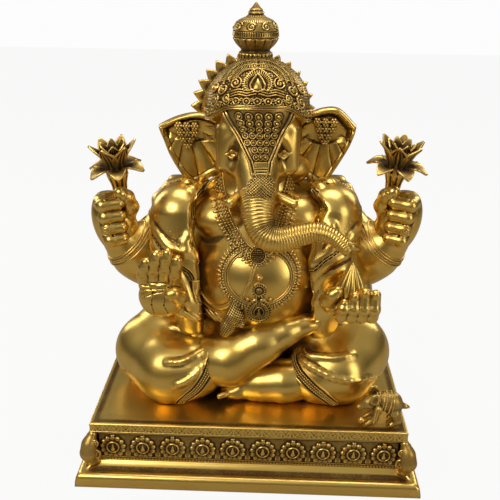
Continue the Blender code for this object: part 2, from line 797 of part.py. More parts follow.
# ------------------------------------------------------------------ the mouse


def make_mouse():
    """The mouse at the plate's front corner: it faces the figure's right and holds a sweet."""
    ground = PLATE_TOP + GAP
    balls = [
        ((0.181, -0.126, ground + 0.025), (0.017, 0.012, 0.014)),
        ((0.190, -0.126, ground + 0.017), (0.014, 0.013, 0.016)),
        ((0.160, -0.128, ground + 0.029), (0.011, 0.009, 0.009)),
        ((0.163, -0.117, ground + 0.039), (0.007, 0.003, 0.008)),
        ((0.165, -0.138, ground + 0.038), (0.007, 0.003, 0.008)),
    ]
    limbs = [
        [(0.158, -0.129, ground + 0.027, 0.007), (0.147, -0.130, ground + 0.022, 0.0035)],
        [(0.168, -0.119, ground + 0.020, 0.006), (0.163, -0.120, ground + 0.003, 0.005)],
        [(0.170, -0.134, ground + 0.020, 0.006), (0.160, -0.136, ground + 0.012, 0.0035)],
        [(0.190, -0.116, ground + 0.012, 0.007), (0.184, -0.116, ground + 0.003, 0.005)],
        [(0.190, -0.137, ground + 0.012, 0.007), (0.180, -0.138, ground + 0.003, 0.005)],
        [(0.200, -0.126, ground + 0.024, 0.004), (0.207, -0.125, ground + 0.026, 0.003),
         (0.212, -0.123, ground + 0.021, 0.0018)],
    ]
    name = "mouse"
    mouse = fused(name, antique(name), 0.0016, 400, balls, limbs, smoothing=3)
    return cut_below(mouse, ground)


def make_mouse_sweet(*neighbours):
    name = "mouse_sweet"
    balls = [((0.152, -0.136, PLATE_TOP + GAP + 0.013), (0.0052, 0.0052, 0.0052))]
    return fit(fused(name, antique(name), 0.0014, 80, balls, smoothing=2), *neighbours)


# ------------------------------------------------------------------ assembly


plate = make_plate()
foot_frame = make_foot_frame()
panels = make_panels()
make_corner_scrolls(plate, foot_frame, *panels)

torso = make_torso()
right_leg = make_leg("right_leg", RIGHT_LEG, torso)
left_leg = make_leg("left_leg", LEFT_LEG, torso, right_leg)
name = "left_shin"
left_shin = fused(name, polished(name), 0.003, 200, limbs=LEFT_SHIN)
left_shin = fit(cut_below(left_shin, PLATE_TOP + GAP), torso, right_leg, left_leg)
name = "right_shin"
right_shin = fused(name, polished(name), 0.003, 220, limbs=RIGHT_SHIN)
right_shin = fit(right_shin, torso, right_leg, left_leg, left_shin)

arms = {}
for name, stations in (
    ("right_rear_arm", REAR_ARM_RIGHT),
    ("left_rear_arm", REAR_ARM_LEFT),
    ("right_front_arm", FRONT_ARM_RIGHT),
    ("left_front_arm", FRONT_ARM_LEFT),
):
    arm = fused(name, polished(name), 0.003, 170, limbs=[stations])
    near = [torso, right_leg, left_leg]
    if name == "right_front_arm":
        near.append(arms["right_rear_arm"])
    if name == "left_front_arm":
        near.append(arms["left_rear_arm"])
    arms[name] = fit(arm, *near)

head = make_head(torso)
trunk = make_trunk(head, torso)
right_ear = make_ear("right_ear", -1, head, torso)
left_ear = make_ear("left_ear", 1, head, torso)
right_tusk = make_tusk("right_tusk", ((-0.008, -0.060, 0.384), (-0.029, -0.090, 0.377)), 0.0062, head, trunk)
left_tusk = make_tusk("left_tusk", ((0.016, -0.060, 0.384), (0.054, -0.084, 0.377)), 0.0062, head, trunk)
halo = make_halo(head, right_ear, left_ear, torso)
crown = make_crown(head, right_ear, left_ear, halo)
make_finial(crown, halo)
shield = make_forehead_plate(head, trunk, crown)
make_ear_flower("right_ear_flower", -1, right_ear, crown)
make_ear_flower("left_ear_flower", 1, left_ear, crown)

right_fist = make_fist(
    "right_rear_fist", -1, (-0.182, -0.017, 0.298, 0.020), (-0.187, -0.020, 0.331), arms["right_rear_arm"]
)
left_fist = make_fist(
    "left_rear_fist", 1, (0.188, -0.017, 0.307, 0.020), (0.190, -0.020, 0.341), arms["left_rear_arm"]
)
make_lotus("right_lotus", -1, (-0.180, -0.018, 0.374), right_fist)
make_lotus("left_lotus", 1, (0.180, -0.018, 0.384), left_fist)

blessing = make_blessing_hand(arms["right_front_arm"])
offering = make_offering_hand(arms["left_front_arm"])
modak = make_modak(offering, arms["left_front_arm"])

right_hang = [(-0.100, -0.020, 0.340, 0.038), (-0.090, -0.040, 0.280, 0.026), (-0.072, -0.050, 0.225, 0.022)]
left_hang = [(0.104, -0.020, 0.345, 0.038), (0.098, -0.045, 0.285, 0.028), (0.092, -0.050, 0.225, 0.024)]
figure = [torso, right_leg, left_leg, *arms.values(), head, trunk, right_ear, left_ear, blessing, offering]
figure += [modak, right_shin, left_shin]
right_shawl = make_shawl("right_shawl", REAR_ARM_RIGHT, FRONT_ARM_RIGHT, right_hang, *figure)
left_shawl = make_shawl("left_shawl", REAR_ARM_LEFT, FRONT_ARM_LEFT, left_hang, *figure, right_shawl)

garland = make_garland(torso, head, trunk, right_ear, left_ear, right_shawl, left_shawl, right_tusk, left_tusk)
pendant = make_pendant(torso, trunk, garland)
thread = make_thread(torso, garland, pendant, trunk)
make_sash(torso, right_leg, right_shin, right_shawl, garland, pendant, thread)

mouse = make_mouse()
make_mouse_sweet(mouse)

leg_core = (0.034, 0.026, 0.030)
hollowed(right_leg, core_of(((-0.115, -0.030, 0.098), leg_core), 200, limbs=RIGHT_LEG))
hollowed(left_leg, core_of(((0.118, -0.028, 0.098), leg_core), 200, limbs=LEFT_LEG))
torso_core = core_of(((0.004, 0.030, 0.098), (0.080, 0.056, 0.030)), 380, balls=TORSO_BALLS)
make_fixings(torso_core)
hollowed(torso, torso_core)

for part in PARTS.objects:
    smooth_shade(part)
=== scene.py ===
# %% [markdown]
# # A brass Ganesha
# A cast and hand-finished idol: a hollow plinth, a seated figure, and small castings brazed on. The
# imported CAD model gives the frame. Every visible casting is made again here with its engraving, its
# folds and its polish, in the place that the CAD gives it.

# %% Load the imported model
import math
import bmesh
import bpy
import numpy as np
import openvdb
from mathutils import Euler, Matrix, Vector


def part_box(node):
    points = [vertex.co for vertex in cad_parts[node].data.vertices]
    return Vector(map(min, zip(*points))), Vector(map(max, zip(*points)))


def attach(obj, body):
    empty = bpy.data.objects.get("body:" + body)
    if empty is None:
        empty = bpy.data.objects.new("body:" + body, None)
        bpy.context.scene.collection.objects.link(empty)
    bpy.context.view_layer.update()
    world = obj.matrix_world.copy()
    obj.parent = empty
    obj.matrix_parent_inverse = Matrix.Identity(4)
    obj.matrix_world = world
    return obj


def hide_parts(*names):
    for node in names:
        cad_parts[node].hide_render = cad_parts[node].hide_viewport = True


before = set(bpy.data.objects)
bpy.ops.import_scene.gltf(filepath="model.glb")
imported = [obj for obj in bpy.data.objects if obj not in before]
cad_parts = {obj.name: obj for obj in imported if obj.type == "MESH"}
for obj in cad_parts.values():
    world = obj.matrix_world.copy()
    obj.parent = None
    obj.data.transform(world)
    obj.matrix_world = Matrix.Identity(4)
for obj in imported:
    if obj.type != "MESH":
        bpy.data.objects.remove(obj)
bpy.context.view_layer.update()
TAU = math.tau

# %% [markdown]
# ## Camera
# The idol is seen from the front, a little above its crown and a metre away. An empty scene has no
# camera, so one is made with plain angles: first the heading, then the tilt down, then a slight roll.

# %% Camera
camera = bpy.data.objects.new("camera", bpy.data.cameras.new("camera"))
bpy.context.scene.collection.objects.link(camera)
camera.data.lens = 50.4
camera.data.sensor_width = 36.0
heading, tilt, roll = 0.0283, math.radians(90 - 22.17), 0.0147
turn = Matrix.Rotation(heading, 4, "Z") @ Matrix.Rotation(tilt, 4, "X") @ Matrix.Rotation(roll, 4, "Z")
camera.matrix_world = Matrix.Translation((0.021, -0.915, 0.653)) @ turn
bpy.context.scene.camera = camera
print("camera at", tuple(round(c, 3) for c in camera.matrix_world.translation))

# %% [markdown]
# ## From arrays to a mesh
# Every shape below is a numpy array of points before it is a mesh. One helper takes points and quads
# and fills a mesh in a few calls, which is much faster than adding faces one at a time.

# %% Mesh helper
PIECES = []


def make_piece(name, points, quads, replaces=(), kind="polished", merge=True):
    """Makes one object from points (n, 3) and quads (m, 4): doubles merged, smooth, riding on the idol."""
    mesh = bpy.data.meshes.new(name)
    mesh.vertices.add(len(points))
    mesh.vertices.foreach_set("co", np.ascontiguousarray(points, np.float32).ravel())
    mesh.loops.add(quads.size)
    mesh.loops.foreach_set("vertex_index", np.ascontiguousarray(quads, np.int32).ravel())
    mesh.polygons.add(len(quads))
    mesh.polygons.foreach_set("loop_start", np.arange(0, quads.size, 4, dtype=np.int32))
    mesh.polygons.foreach_set("use_smooth", np.ones(len(quads), bool))
    mesh.update(calc_edges=True)
    if merge:
        work = bmesh.new()
        work.from_mesh(mesh)
        bmesh.ops.remove_doubles(work, verts=work.verts, dist=2e-6)
        work.to_mesh(mesh)
        work.free()
    mesh.validate()
    name = name + "_brass" if name in bpy.data.objects else name
    piece = bpy.data.objects.new(name, mesh)
    bpy.context.scene.collection.objects.link(piece)
    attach(piece, "root")
    if replaces:
        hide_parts(*replaces)
    "antique_brass" if kind == "antique" else "polished_brass"
    piece["kind"] = kind
    PIECES.append(piece)
    print(f"{name}: {len(points)} points, {len(quads)} quads")
    return piece


# %% [markdown]
# ## Rounded castings as fields
# Flesh, cloth and fingers have no edges to draw. They are easier to write as a field: a function that
# says how far a point is from the surface, negative inside. Two fields join softly with a smooth
# minimum, and OpenVDB, which Blender carries, turns the zero level of a sampled field into quads.

# %% Field tools


def blend(a, b, k):
    """Smooth minimum: the smaller field, rounded where the two differ by less than k."""
    share = np.clip(0.5 + 0.5 * (b - a) / k, 0, 1)
    return b + (a - b) * share - k * share * (1 - share)


def carve(a, b, k):
    """Smooth maximum of a and minus b: b is taken out of a, with an edge rounded by k."""
    return -blend(-a, b, k)


def blob(p, centre, radii, turn=(0, 0, 0)):
    """Ellipsoid: the length of the scaled point less one, brought back to a distance."""
    q = p - np.array(centre, np.float32)
    if any(turn):
        q = q @ np.array(Euler([math.radians(a) for a in turn]).to_matrix(), np.float32)
    radii = np.array(radii, np.float32)
    near = np.linalg.norm(q / radii, axis=-1)
    steep = np.linalg.norm(q / radii**2, axis=-1) + 1e-9
    return near * (near - 1) / steep


def link(p, a, b):
    """Rounded cone between stations (x, y, z, radius): distance to the axis less the radius there."""
    a, b = np.array(a, np.float32), np.array(b, np.float32)
    axis = b[:3] - a[:3]
    q = p - a[:3]
    t = np.clip((q @ axis) / (axis @ axis + 1e-12), 0, 1)
    return np.linalg.norm(q - t[..., None] * axis, axis=-1) - (a[3] + (b[3] - a[3]) * t)


def chain(p, stations, k=0.006):
    """Links through many stations, blended."""
    field = link(p, stations[0], stations[1])
    for a, b in zip(stations[1:], stations[2:]):
        field = blend(field, link(p, a, b), k)
    return field


def curve_through(points, count):
    """A Catmull-Rom curve through the rows of points, sampled evenly by its own parameter."""
    points = np.array(points, float)
    ends = np.vstack([2 * points[0] - points[1], points, 2 * points[-1] - points[-2]])
    t = np.linspace(0, len(points) - 1 - 1e-6, count)
    i = t.astype(int)
    t = (t - i)[:, None]
    p0, p1, p2, p3 = ends[i], ends[i + 1], ends[i + 2], ends[i + 3]
    return (0.5 * (2 * p1 + (p2 - p0) * t + (2 * p0 - 5 * p1 + 4 * p2 - p3) * t**2
                   + (3 * p1 - p0 - 3 * p2 + p3) * t**3))


def sample(field, low, counts, step, block=6):
    """Field values on a grid. A block of cells that lies far from the surface keeps its middle's value."""
    starts = np.stack(np.meshgrid(*[np.arange(0, n, block) for n in counts], indexing="ij"), -1)
    rough = field((low + (starts.reshape(-1, 3) + (block - 1) / 2)
                   * step).astype(np.float32)).reshape(starts.shape[:3])
    values = rough
    for axis in range(3):
        values = np.repeat(values, block, axis)
    values = np.ascontiguousarray(values[: counts[0], : counts[1], : counts[2]], dtype=np.float32)
    near = starts[np.abs(rough) < 1.7 * block * step]
    inner = np.stack(np.meshgrid(*[np.arange(block)] * 3, indexing="ij"), -1).reshape(-1, 3)
    cells = (near[:, None] + inner).reshape(-1, 3)
    cells = cells[(cells < counts).all(1)]
    values[tuple(cells.T)] = field((low + cells * step).astype(np.float32))
    return values


def cast(name, field, low, high, step, replaces=(), kind="polished", floor=None):
    """Samples a field on a grid of the given step and makes a mesh of its zero level."""
    low, high = np.array(low, np.float32), np.array(high, np.float32)
    counts = np.ceil((high - low) / step).astype(int) + 1
    values = sample(field, low, counts, step)
    if floor is not None:
        values = np.maximum(values, floor - (low[2] + step * np.arange(counts[2], dtype=np.float32)))
    values = np.clip(values / step, -3, 3).astype(np.float32)
    for axis in range(3):
        side = np.moveaxis(values, axis, 0)
        side[0], side[-1] = 3, 3
    volume = openvdb.FloatGrid(3.0)
    volume.copyFromArray(values)
    points, quads = volume.convertToQuads(isovalue=0.0)
    return make_piece(name, points * step + low, quads.astype(np.int32), replaces, kind, merge=False)


def onto(field, points, lift=0.0, rounds=6):
    """Moves points along the field's slope until they lie on its zero level, or lift above it."""
    p = np.array(points, np.float32)
    for _ in range(rounds):
        value = field(p)
        p = p - (value - lift)[:, None] * slope(field, p)
    return p


def slope(field, p, h=0.0008):
    """The direction in which a field grows fastest, which is the surface's normal."""
    g = np.stack([field(p + h * np.eye(3, dtype=np.float32)[i])
                  - field(p - h * np.eye(3, dtype=np.float32)[i])
                  for i in range(3)], -1)
    return g / (np.linalg.norm(g, axis=-1, keepdims=True) + 1e-9)


# %% [markdown]
# ## Surfaces carried along a path
# Hems, cords, necklaces and the trunk are profiles carried along a path. The path brings its own
# normals, so that a band lies flat on the cloth under it.

# %% Sweep tools


def grid_quads(rows, cols, round_rows=False, round_cols=True):
    """Quads between the points of a grid, closed across either side if asked."""
    r = np.arange(rows if round_rows else rows - 1)[:, None]
    c = np.arange(cols if round_cols else cols - 1)[None]
    r2, c2 = (r + 1) % rows, (c + 1) % cols
    return np.stack([r * cols + c, r * cols + c2, r2 * cols + c2, r2 * cols + c], -1).reshape(-1, 4)


def outward(points, quads):
    """Turns the quads over if the closed surface they make has a negative volume."""
    a, b, c, d = (points[quads[:, i]] for i in range(4))
    volume = np.einsum("ij,ij->", a, np.cross(b, c)) + np.einsum("ij,ij->", a, np.cross(c, d))
    return quads if volume > 0 else quads[:, ::-1]


def sweep(path, normals, profile, closed=False):
    """Profile points (across, up) at each path point: path + across * side + up * normal.

    profile is (m, 2), or (n, m, 2) where it changes along the path. Open ends are closed by a cap
    of quads folded down to the ends' middle points.
    """
    path, normals = np.asarray(path, float), np.asarray(normals, float)
    along = np.roll(path, -1, 0) - np.roll(path, 1, 0) if closed else np.gradient(path, axis=0)
    along /= np.linalg.norm(along, axis=1, keepdims=True) + 1e-12
    side = np.cross(along, normals)
    side /= np.linalg.norm(side, axis=1, keepdims=True) + 1e-12
    up = np.cross(side, along)
    profile = np.broadcast_to(profile, (len(path), *np.shape(profile)[-2:]))
    rings = path[:, None] + profile[..., :1] * side[:, None] + profile[..., 1:] * up[:, None]
    rows, cols = rings.shape[:2]
    if closed:
        points = rings.reshape(-1, 3)
        return points, outward(points, grid_quads(rows, cols, True, True))
    caps = [np.repeat(rings[end].mean(0)[None], cols, 0) for end in (0, -1)]
    points = np.concatenate([caps[0][None], rings, caps[1][None]]).reshape(-1, 3)
    quads = grid_quads(rows + 2, cols, False, True)
    return points, outward(points, quads)


def circle(radius, count=8, squash=1.0):
    """A round profile."""
    angle = TAU * np.arange(count) / count
    return np.stack([radius * np.cos(angle), squash * radius * np.sin(angle)], -1)


def tube(path, normals, radius, count=8, closed=False):
    """A round bar along a path, with one radius or one for each point."""
    radius = np.broadcast_to(radius, (len(path),))
    profile = circle(1.0, count)[None] * radius[:, None, None]
    return sweep(path, normals, profile, closed)


def joined(parts):
    """Many (points, quads) as one."""
    points, quads, start = [], [], 0
    for p, q in parts:
        points.append(p)
        quads.append(q + start)
        start += len(p)
    return np.concatenate(points), np.concatenate(quads)


def cube_ball(n=3):
    """A unit ball made from a cube's faces with n by n quads each, pushed out to the sphere."""
    parts = []
    u = np.linspace(-1, 1, n + 1)
    a, b = np.meshgrid(np.tan(u * math.pi / 4), np.tan(u * math.pi / 4), indexing="ij")
    for axis in range(3):
        for sign in (-1, 1):
            face = np.stack([np.full_like(a, sign), a, b], -1)
            face = np.roll(face, axis, -1)
            face = face / np.linalg.norm(face, axis=-1, keepdims=True)
            quads = grid_quads(n + 1, n + 1, False, False)
            parts.append((face.reshape(-1, 3), quads if sign < 0 else quads[:, ::-1]))
    points, quads = joined(parts)
    _, first, index = np.unique(np.round(points, 5), axis=0, return_index=True, return_inverse=True)
    return points[first], index.reshape(-1)[quads]


BALL = cube_ball(3)


def beads(centres, normals, radii, stretch=None):
    """A ball at each centre, with its third axis along the normal and radii (n, 3) or (n,)."""
    centres, normals = np.asarray(centres, float), np.asarray(normals, float)
    normals = normals / (np.linalg.norm(normals, axis=1, keepdims=True) + 1e-12)
    radii = np.asarray(radii, float)
    radii = np.repeat(radii[:, None], 3, 1) if radii.ndim == 1 else radii
    first = stretch if stretch is not None else np.cross(normals, [0.13, 0.31, 0.94])
    first = first - (first * normals).sum(1, keepdims=True) * normals
    first = first / (np.linalg.norm(first, axis=1, keepdims=True) + 1e-12)
    second = np.cross(normals, first)
    ball_points, ball_quads = BALL
    local = ball_points[None] * radii[:, None]
    points = (centres[:, None] + local[..., :1] * first[:, None] + local[..., 1:2] * second[:, None]
              + local[..., 2:] * normals[:, None])
    quads = ball_quads[None] + (len(ball_points) * np.arange(len(centres)))[:, None, None]
    return points.reshape(-1, 3), quads.reshape(-1, 4)


def spaced(path, step):
    """Points at even steps of length along a path, with the path's direction there."""
    path = np.asarray(path, float)
    length = np.concatenate([[0], np.cumsum(np.linalg.norm(np.diff(path, axis=0), axis=1))])
    at = np.linspace(0, length[-1], max(2, int(round(length[-1] / step)) + 1))
    points = np.stack([np.interp(at, length, path[:, i]) for i in range(3)], -1)
    return points, np.gradient(points, axis=0)


print("ball:", len(BALL[0]), "points")

# %% [markdown]
# ## The plinth
# The plinth is a foot frame, four cast panels, four corner scrolls and the seat plate. All of its
# engraving is relief: a height over two distances, along the side and up it. So a small set of
# drawing functions comes first, each of which gives a height for every point of a grid at once.

# %% Relief tools


def round_top(distance, width):
    """A half-round wire's height, 0 to 1, from the distance to its middle line."""
    return np.sqrt(np.clip(1 - (distance / width) ** 2, 0, 1))


def line_distance(a, b, line):
    """Distance in the plane from points (a, b) to a chain of straight runs."""
    best = np.full(np.shape(a), 1e3)
    for (x0, y0), (x1, y1) in zip(line[:-1], line[1:]):
        dx, dy = x1 - x0, y1 - y0
        t = np.clip(((a - x0) * dx + (b - y0) * dy) / (dx * dx + dy * dy + 1e-12), 0, 1)
        best = np.minimum(best, np.hypot(a - x0 - t * dx, b - y0 - t * dy))
    return best


def wire(a, b, line, width, height):
    """A raised round wire along a line in the plane."""
    return height * round_top(line_distance(a, b, np.asarray(line)), width)


def boss(a, b, centre, radii, height):
    """A raised oval dome."""
    return height * round_top(np.hypot((a - centre[0]) / radii[0], (b - centre[1]) / radii[1]), 1.0)


def ring(a, b, centre, radius, width, height):
    """A raised round ring."""
    return height * round_top(np.hypot(a - centre[0], b - centre[1]) - radius, width)


def spiral(centre, radius, turns, start, way=1, count=30):
    """A line that winds from a radius in to its centre: the radius falls evenly with the angle."""
    t = np.linspace(0, 1, count)
    angle = start + way * turns * TAU * t
    reach = radius * (1 - 0.88 * t)
    return np.stack([centre[0] + reach * np.cos(angle), centre[1] + reach * np.sin(angle)], -1)


def drop(a, b, centre, width, length, height):
    """A raised teardrop with its point up: the half width shrinks towards the top."""
    up = (b - centre[1]) / length
    narrow = np.clip(1 - 0.62 * np.clip(up + 0.35, 0, 1.2), 0.05, 1)
    return (height * round_top(np.hypot((a - centre[0]) / (width * narrow),
                                        np.where(up > 0, up, up * 1.35)), 1.0))


def peacock(a, b, size):
    """A feather rosette: 13 scalloped rays round a teardrop, with a bead at the crest.

    The edge radius is size times 0.84 plus 0.13 of the lobes' wave. Each ray is a ridge that grows
    outwards, and a ring and a teardrop stand on the middle.
    """
    a, b = a / size, b / size + 0.10
    r, angle = np.hypot(a, b * 0.96), np.arctan2(a, b)
    lobes = np.abs(np.cos(6.5 * angle))
    edge = 0.84 + 0.13 * lobes
    inside = np.clip((edge - r) / 0.10, 0, 1)
    rays = np.clip(r - 0.34, 0, 1) * (0.35 + 0.65 * lobes**0.7)
    height = inside * (0.34 + 0.62 * rays + 0.12 * np.cos(r * 6))
    height = np.maximum(height, ring(a, b, (0, 0), 0.43, 0.07, 0.78) * (r < 0.6))
    height = np.maximum(height, drop(a, b, (0, -0.10), 0.23, 0.40, 1.0))
    height = np.maximum(height, boss(a, b, (0, 1.06), (0.16, 0.16), 0.95))
    return height


# %% [markdown]
# A panel is one grid of points over its length and height. The mouldings give each row its depth,
# and the rosettes are added in the sunk band, evenly spaced. A closed shell needs a back too, so the
# grid's edges fold back and run to one point behind the face.

# %% Plinth panels
FOOT_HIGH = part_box("base_foot_frame")[1]
PLATE_LOW, PLATE_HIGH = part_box("base_top_plate")
SEAT = PLATE_HIGH[2]
BODY_X, BODY_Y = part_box("base_left_panel")[1][0], -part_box("base_front_panel")[0][1]
PANEL_LOW, PANEL_HIGH = FOOT_HIGH[2], PLATE_LOW[2]


def leaf_border(s, h, height):
    """A row of pointed leaves: a zigzag of wires with a vein up each leaf."""
    pitch = 0.0125
    x = (s / pitch) % 1 - 0.5
    y = h / height
    side = np.abs(np.abs(x) * 2 - (1 - y))
    vein = np.abs(x) * 2 + 0.25 * (y > 0.75)
    veins = 0.5 + 0.5 * np.cos(TAU * 3 * (y + np.abs(x) * 2))
    leaf = (np.abs(x) * 2 < 1 - y) * 0.35 * veins
    return np.maximum(round_top(side, 0.16), np.maximum(round_top(vein, 0.10), leaf))


def panel_relief(s, h, half_length, count):
    """How far the panel's face stands out at length s and height h, in metres."""
    tall = PANEL_HIGH - PANEL_LOW
    y = h / tall
    sunk = np.clip((y - 0.135) / 0.02, 0, 1) * np.clip((0.865 - y) / 0.02, 0, 1)
    face = -0.0036 * sunk
    for level, width, out in ((0.105, 0.026, 0.0010), (0.905, 0.022, 0.0009), (0.965, 0.026, 0.0012)):
        face = np.maximum(face, out * round_top(y - level, width) - 0.0002)
    bead_row = round_top(np.hypot((s / 0.0042) % 1 - 0.5, (y - 0.045) / 0.085), 0.42)
    face = np.maximum(face, 0.0013 * bead_row)
    pitch = 2 * half_length / count
    local = (s + half_length) % pitch - pitch / 2
    inner = np.abs(s) < half_length
    roses = peacock(local, h - 0.485 * tall, 0.46 * pitch) * inner * sunk
    leaves = np.abs(np.cos(math.pi * local / pitch)) < 0.25
    darts = np.clip(0.4 - y, 0, 1) * leaves * inner * 0.004
    return face + 0.0040 * roses + darts * sunk


def side_shell(name, node, out_axis, sign, half_length, out, rosettes):
    """One panel: point (s, h) stands out by the face's relief, and the rim folds back and closes."""
    rows = 66
    cols = int(2 * half_length / 0.00084)
    h = np.linspace(0.0004, PANEL_HIGH - PANEL_LOW - 0.0004, rows)[:, None]
    s = np.linspace(-half_length, half_length, cols)[None]
    relief = panel_relief(s, h, half_length - 0.004, rosettes)
    depth = np.broadcast_to(relief, (rows, cols)).copy()
    depth = np.pad(depth, 1, mode="edge")
    depth[0], depth[-1], depth[:, 0], depth[:, -1] = (-0.006,) * 4
    level = np.pad(np.broadcast_to(h, (rows, cols)), 1, mode="edge") + PANEL_LOW
    length = np.pad(np.broadcast_to(s, (rows, cols)), 1, mode="edge")
    points = np.zeros((*depth.shape, 3))
    points[..., 2] = level
    points[..., out_axis] = sign * (out + depth)
    points[..., 1 - out_axis] = length
    front = points.reshape(-1, 3)
    quads = grid_quads(rows + 2, cols + 2, False, False)
    border = close_border(rows + 2, cols + 2, len(front))
    middle = front.mean(0)
    middle[out_axis] = sign * (out - 0.006)
    quads = np.concatenate([quads, border])
    points = np.vstack([front, middle])
    return make_piece(name, points, outward(points, quads), (node,), "antique")


def close_border(rows, cols, centre):
    """Quads from a grid's border to one middle point, which close its back."""
    index = np.arange(rows * cols).reshape(rows, cols)
    loop = np.concatenate([index[0, :-1], index[:-1, -1], index[-1, :0:-1], index[:0:-1, 0]])
    pairs = loop[::2], loop[1::2], np.roll(loop, -2)[::2]
    count = min(len(p) for p in pairs)
    return np.stack([pairs[0][:count], np.full(count, centre), pairs[2][:count], pairs[1][:count]], -1)


side_shell("front_panel", "base_front_panel", 1, -1, BODY_X, BODY_Y, 10)
side_shell("back_panel", "base_back_panel", 1, 1, BODY_X, BODY_Y, 10)
side_shell("right_panel", "base_right_panel", 0, -1, BODY_Y, BODY_X, 7)
side_shell("left_panel", "base_left_panel", 0, 1, BODY_Y, BODY_X, 7)

# %% [markdown]
# The foot frame and the plate's edge are mouldings carried round a rectangle, mitred at the corners.
# The rectangle is walked in small steps, so that the plate's edge can carry its border of leaves.

# %% Foot frame and seat plate


def round_rectangle(section, half_x, half_y, relief=None, step=0.0012):
    """Rings of a section (outward, height) round a rectangle, each point pushed out by its relief."""
    section = np.asarray(section, float)
    nx, ny = int(2 * half_x / step), int(2 * half_y / step)
    sx, sy = np.linspace(-1, 1, nx, endpoint=False), np.linspace(-1, 1, ny, endpoint=False)
    ux = np.concatenate([sx, np.ones(ny), -sx, -np.ones(ny)])
    uy = np.concatenate([-np.ones(nx), sy, np.ones(nx), -sy])
    out_x = np.concatenate([np.zeros(nx), np.ones(ny), np.zeros(nx), -np.ones(ny)])
    out_y = np.concatenate([-np.ones(nx), np.zeros(ny), np.ones(nx), np.zeros(ny)])
    length = np.concatenate([sx * half_x, sy * half_y, sx * half_x, sy * half_y])
    grow = section[None, :, 0]
    points = np.zeros((len(ux), len(section), 3))
    points[..., 0] = ux[:, None] * (half_x + grow)
    points[..., 1] = uy[:, None] * (half_y + grow)
    points[..., 2] = section[None, :, 1]
    if relief is not None:
        corner = np.clip((1 - np.maximum(np.minimum(abs(ux), abs(uy)), 0)) * 40, 0, 1)
        push = relief(length[:, None], section[None, :, 1]) * corner[:, None]
        points[..., 0] += out_x[:, None] * push
        points[..., 1] += out_y[:, None] * push
    rows, cols = points.shape[:2]
    points = points.reshape(-1, 3)
    return points, outward(points, grid_quads(rows, cols, True, True))


def fillet(start, end, bulge, count=9):
    """Points of a shallow arc between two points of a section, bulging to one side by a share."""
    start, end = np.array(start, float), np.array(end, float)
    t = np.linspace(0, 1, count)[:, None]
    across = np.array([end[1] - start[1], start[0] - end[0]])
    return start + (end - start) * t + across * bulge * 4 * t * (1 - t)


foot_x, foot_y = FOOT_HIGH[0], FOOT_HIGH[1]
inset = foot_x - BODY_X
foot_section = np.vstack([
    [(-0.0004, 0.0)],
    fillet((0.0, 0.0006), (-0.0022, 0.0150), 0.03, 5),
    fillet((-0.0060, 0.0185), (-inset + 0.0050, 0.0215), -0.12, 6),
    fillet((-inset + 0.0040, 0.0222), (-inset - 0.0005, PANEL_LOW), -0.08, 4),
    [(-inset - 0.0090, PANEL_LOW), (-inset - 0.0090, PANEL_LOW - 0.004), (-0.033, 0.0)],
])
make_piece("foot_frame", *round_rectangle(foot_section, foot_x, foot_y, step=0.005), ("base_foot_frame",))

plate_x, plate_y = PLATE_HIGH[0] - 0.001, PLATE_HIGH[1] - 0.001
edge_low, edge_high = PLATE_LOW[2] + 0.0012, SEAT - 0.0022


def plate_edge(s, z):
    """The border of leaves, on the upright part of the edge only."""
    on = (z > edge_low) * (z < edge_high)
    return 0.0008 * on * leaf_border(s, z - edge_low, edge_high - edge_low)


plate_section = np.vstack([
    [(-0.030, PLATE_LOW[2] + 0.0002), (-0.0016, PLATE_LOW[2] + 0.0002)],
    fillet((0.0002, PLATE_LOW[2] + 0.0003), (0.0002, edge_low - 0.0001), 0.3, 4),
    [(-0.0006, edge_low + (edge_high - edge_low) * t) for t in np.linspace(0.001, 0.999, 20)],
    fillet((0.0000, edge_high + 0.0003), (-0.0026, SEAT), 0.20, 6),
    [(-0.0060, SEAT - 0.0002), (-0.0300, SEAT), (-0.1000, SEAT - 0.0004),
     (-plate_y + 0.001, SEAT - 0.0006)],
    [(-plate_y + 0.001, SEAT - 0.008)],
])
make_piece("seat_plate", *round_rectangle(plate_section, plate_x, plate_y, plate_edge, 0.0017),
           ("base_top_plate",))

# %% [markdown]
# Each corner of the plinth carries a bulged bracket with a scroll on both faces. The bracket is a
# field of links, thick in its belly. The scrolls are wound wires laid on it.

